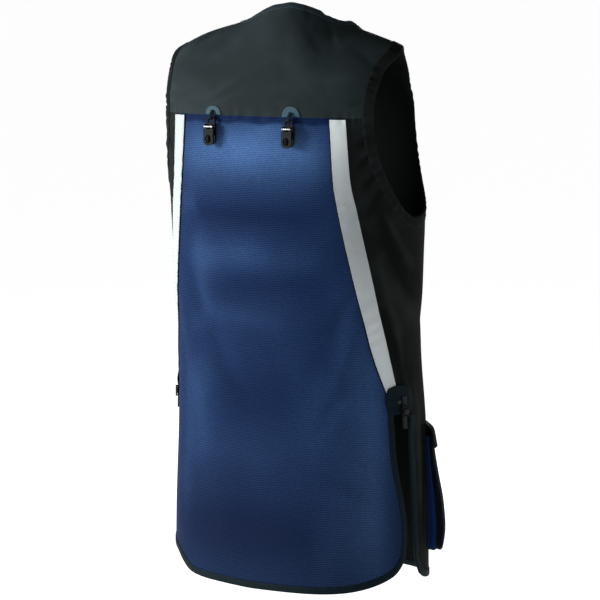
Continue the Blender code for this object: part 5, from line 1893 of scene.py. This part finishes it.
@dataclass
class Zip:
    """The closed zip behind the fronts: two tapes and a row of teeth."""

    tailor: Tailor
    half_tape: float = 0.014
    half_chain: float = 0.0024
    top: float = -0.034
    bottom: float = -0.618
    behind: float = 0.0009
    tape_thickness: float = 0.0011
    slider_length: float = 0.014
    pitch: float = 0.0016
    tooth_top: float = 0.0016
    tooth_corners: tuple[Pair, ...] = ((-0.0006, -0.0006), (0.0026, -0.0006), (0.0026, 0.0006), (-0.0006, 0.0006))
    tooth_taper: float = 0.75

    def build(self) -> None:
        """Make the tapes and teeth."""
        tailor, form = self.tailor, self.tailor.form
        rises = np.linspace(self.top, self.bottom, 160)
        outs = np.array([-self.half_tape, -self.half_chain * 1.6, 0.0, self.half_chain * 1.6, self.half_tape])
        places = []
        for rise in rises:
            turns = [form.turn_at(out, rise, True) % 360 if out else 180.0 for out in outs]
            places.append([(turn, rise) for turn in turns])
        measure = np.stack(np.meshgrid(outs, rises), -1)
        tape = tailor.shell("zip_tape_shell", np.array(places),
                            -self.behind - self.tape_thickness, -self.behind, measure)
        tailor.keep(tape, "zip_tape", Slot.ZIP, ["front_zip"])
        teeth = self.teeth(np.arange(self.top - self.slider_length, self.bottom, -self.pitch))

    def teeth(self, rises: Array) -> Piece:
        """Interlocking teeth, left and right in turn.

        Args:
            rises: Rise of each tooth.

        Returns:
            The new object.
        """
        form = self.tailor.form
        points, faces = [], []
        for number, rise in enumerate(rises):
            side = 1 if number % 2 else -1
            centre = form.cloth(np.array([180.0, rise]), np.array(0.0))
            out = form.outward(np.array(180.0), np.array(rise))
            base = len(points)
            for high in (-self.behind, self.tooth_top):
                for a, b in self.tooth_corners:
                    squeeze = self.tooth_taper if high > 0 else 1.0
                    points.append(centre + out * high + np.array([side * a * squeeze, 0.0, b * squeeze]))
            for ring in BOX_FACES:
                ring = tuple(base + k for k in ring)
                faces.append(ring if side > 0 else ring[::-1])
        made = mesh_object("zip_teeth", np.array(points), faces, None, sharp=30)
        self.tailor.face_out(made)
        return self.tailor.keep(made, "zip_enamel", Slot.ZIP)


@dataclass
class Hardware:
    """The hard CAD pieces, which keep their shape and get round edges and finishes."""

    wardrobe: Wardrobe
    sharp_angle: float = 35.0
    finishes = {
        "clip_body": ("black_acetal", 0.0005), "clip_lever": ("lever_acetal", 0.0005),
        "clip_pin": ("bright_steel", 0.0002), "adjuster_buckle": ("black_acetal", 0.0003),
        "adjuster_rivet": ("zip_enamel", 0.0002), "zip_slider": ("zip_enamel", 0.0003),
        "zip_pull": ("zip_enamel", 0.0003),
    }

    def dress(self) -> None:
        """Give each hard node its finish and a soft edge."""
        for name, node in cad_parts.items():
            for start, (finish, edge) in self.finishes.items():
                if name.startswith(start):
                    self.wardrobe.put(node, finish)
                    soften = node.modifiers.new("edge", "BEVEL")
                    soften.width = edge
                    soften.segments = 2
                    soften.limit_method = "ANGLE"
                    soften.angle_limit = math.radians(self.sharp_angle)
                    log.info("%s: %s", name, finish)


class Lamp(NamedTuple):
    """A square light: metres right of, towards and above the view, its side, and its watts."""

    name: str
    right: float
    back: float
    up: float
    size: float
    power: float


@dataclass
class Studio:
    """Pale floor, soft light and the camera."""

    look: Vector = field(default_factory=lambda: Vector((0.0, 0.0, -0.385)))
    distance: float = 4.1
    azimuth: float = 33.0
    elevation: float = 6.5
    lens: float = 180.88
    sensor: float = 36.0
    sideways: float = 10 / 600
    dimmed: float = 0.07
    floor_height: float = -1.1
    floor_half: float = 600.0
    floor_glow: float = 0.96
    lamps: tuple[Lamp, ...] = (
        Lamp("key", -3.2, 0.25, 0.7, 1.2, 190), Lamp("fill", 1.2, 3.0, 0.6, 2.0, 12),
        Lamp("top", 0.0, 0.6, 3.2, 1.6, 8), Lamp("front", 0.1, -3.6, 1.1, 1.0, 60),
    )

    def __post_init__(self) -> None:
        """Work out the view's directions."""
        turn, tip = math.radians(self.azimuth), math.radians(self.elevation)
        self.back = Vector((-math.sin(turn) * math.cos(tip), math.cos(turn) * math.cos(tip), math.sin(tip)))
        self.right = (-self.back).cross(Vector((0, 0, 1))).normalized()
        self.up = self.right.cross(-self.back).normalized()

    def build(self) -> None:
        """Set up the camera, lights, world and floor."""
        self.add_camera()
        for lamp in self.lamps:
            self.add_light(lamp)
        self.add_world()
        self.add_floor()
        bpy.context.scene.view_settings.view_transform = "Standard"

    def add_camera(self) -> None:
        """The camera at the photo's angle."""
        data = bpy.data.cameras.new("camera")
        data.lens = self.lens
        data.sensor_width = self.sensor
        data.shift_x = self.sideways
        camera = bpy.data.objects.new("camera", data)
        camera.matrix_world = Matrix((self.right, self.up, self.back)).transposed().to_4x4()
        camera.location = self.look + self.back * self.distance
        bpy.context.scene.collection.objects.link(camera)
        bpy.context.scene.camera = camera

    def add_light(self, lamp: Lamp) -> None:
        """A soft square light aimed at the vest.

        Args:
            lamp: The light.
        """
        away = self.right * lamp.right + self.back * lamp.back + self.up * lamp.up
        data = bpy.data.lights.new(lamp.name, "AREA")
        data.shape = "SQUARE"
        data.size = lamp.size
        data.energy = lamp.power
        light = bpy.data.objects.new(lamp.name, data)
        light.location = self.look + away
        light.rotation_euler = away.to_track_quat("Z", "Y").to_euler()
        bpy.context.scene.collection.objects.link(light)

    def add_world(self) -> None:
        """A white world that lights the vest only softly."""
        world = bpy.data.worlds.new("studio")
        bpy.context.scene.world = world
        world.use_nodes = True
        nodes, links = world.node_tree.nodes, world.node_tree.links
        backdrop = nodes["Background"]
        backdrop.inputs["Color"].default_value = (1.0, 1.0, 1.0, 1.0)
        backdrop.inputs["Strength"].default_value = 1.0
        dim = nodes.new("ShaderNodeBackground")
        dim.inputs["Color"].default_value = (0.93, 0.97, 1.0, 1.0)
        dim.inputs["Strength"].default_value = self.dimmed
        seen = nodes.new("ShaderNodeLightPath")
        mix = nodes.new("ShaderNodeMixShader")
        links.new(seen.outputs["Is Camera Ray"], mix.inputs[0])
        links.new(dim.outputs[0], mix.inputs[1])
        links.new(backdrop.outputs[0], mix.inputs[2])
        links.new(mix.outputs[0], nodes["World Output"].inputs[0])

    def add_floor(self) -> None:
        """A plain pale floor."""
        square = ((-1, -1), (1, -1), (1, 1), (-1, 1))
        corners = np.array([(x * self.floor_half, y * self.floor_half, self.floor_height) for x, y in square])
        floor = mesh_object("floor", corners, [(0, 1, 2, 3)], None)
        graph = Graph("pale_floor")
        floor.data.materials.append(graph.finish(
            Base_Color=(0.3, 0.3, 0.3), Roughness=0.9, Emission_Color=(1.0, 1.0, 1.0),
            Emission_Strength=self.floor_glow))


def add_ruffles(form: WornForm, left: SideEdges, right: SideEdges, neck: Array) -> None:
    """Let the sewing of the edges and seams pucker the cloth.

    Args:
        form: The form that takes the puckers.
        left: Edges of the wearer's left.
        right: Edges of the wearer's right.
        neck: The neck's edge on the yoke.
    """
    for edges in (left, right):
        loop = np.vstack([edges.armhole(), edges.armhole()[:1]])
        form.ruffles += [Ruffle(loop, pitch=0.0125, depth=0.00062, reach=0.013, seed=edges.side * 0.7),
                         Ruffle(edges.mesh_seam, pitch=0.019, depth=0.0006, reach=0.016, seed=edges.side * 1.9)]
    seam = form.level(left.armhole_high[-1, 0], right.armhole_high[-1, 0], left.yoke_seam, 150)
    form.ruffles += [Ruffle(neck, pitch=0.014, depth=0.0004, reach=0.01, seed=0.4),
                     Ruffle(seam, pitch=0.0135, depth=0.0005, reach=0.009, seed=2.2)]


def main() -> None:
    """Build every sub-assembly in order and report the pieces."""
    logging.basicConfig(level=logging.INFO, format="%(name)s %(message)s")
    form = WornForm()
    left, right = SideEdges(form, 1), SideEdges(form, -1)
    tailor = Tailor(form, Wardrobe())
    back = BackOfVest(tailor, left, right)
    neck = back.neck_line()
    add_ruffles(form, left, right, neck)
    steps: tuple[Callable[[], None], ...] = (
        back.build_yoke, back.build_mesh, back.build_sides, back.build_tapes,
        FrontOfVest(tailor, left, right).build_fronts,
        EdgesOfVest(tailor, left, right, neck=neck).build,
        Pocket(tailor, left).build, Pocket(tailor, right).build,
        Adjuster(tailor, left, lift=0.0125, tail=0.0005).build,
        Adjuster(tailor, right, lift=0.0076, tail=0.001).build,
        HangingClip(tailor, 1).build, HangingClip(tailor, -1).build,
        Zip(tailor).build, Hardware(tailor.wardrobe).dress, Studio().build,
    )
    for step in steps:
        step()
    log.info("%d pieces made", len(tailor.pieces))


if __name__ == "__main__":
    main()
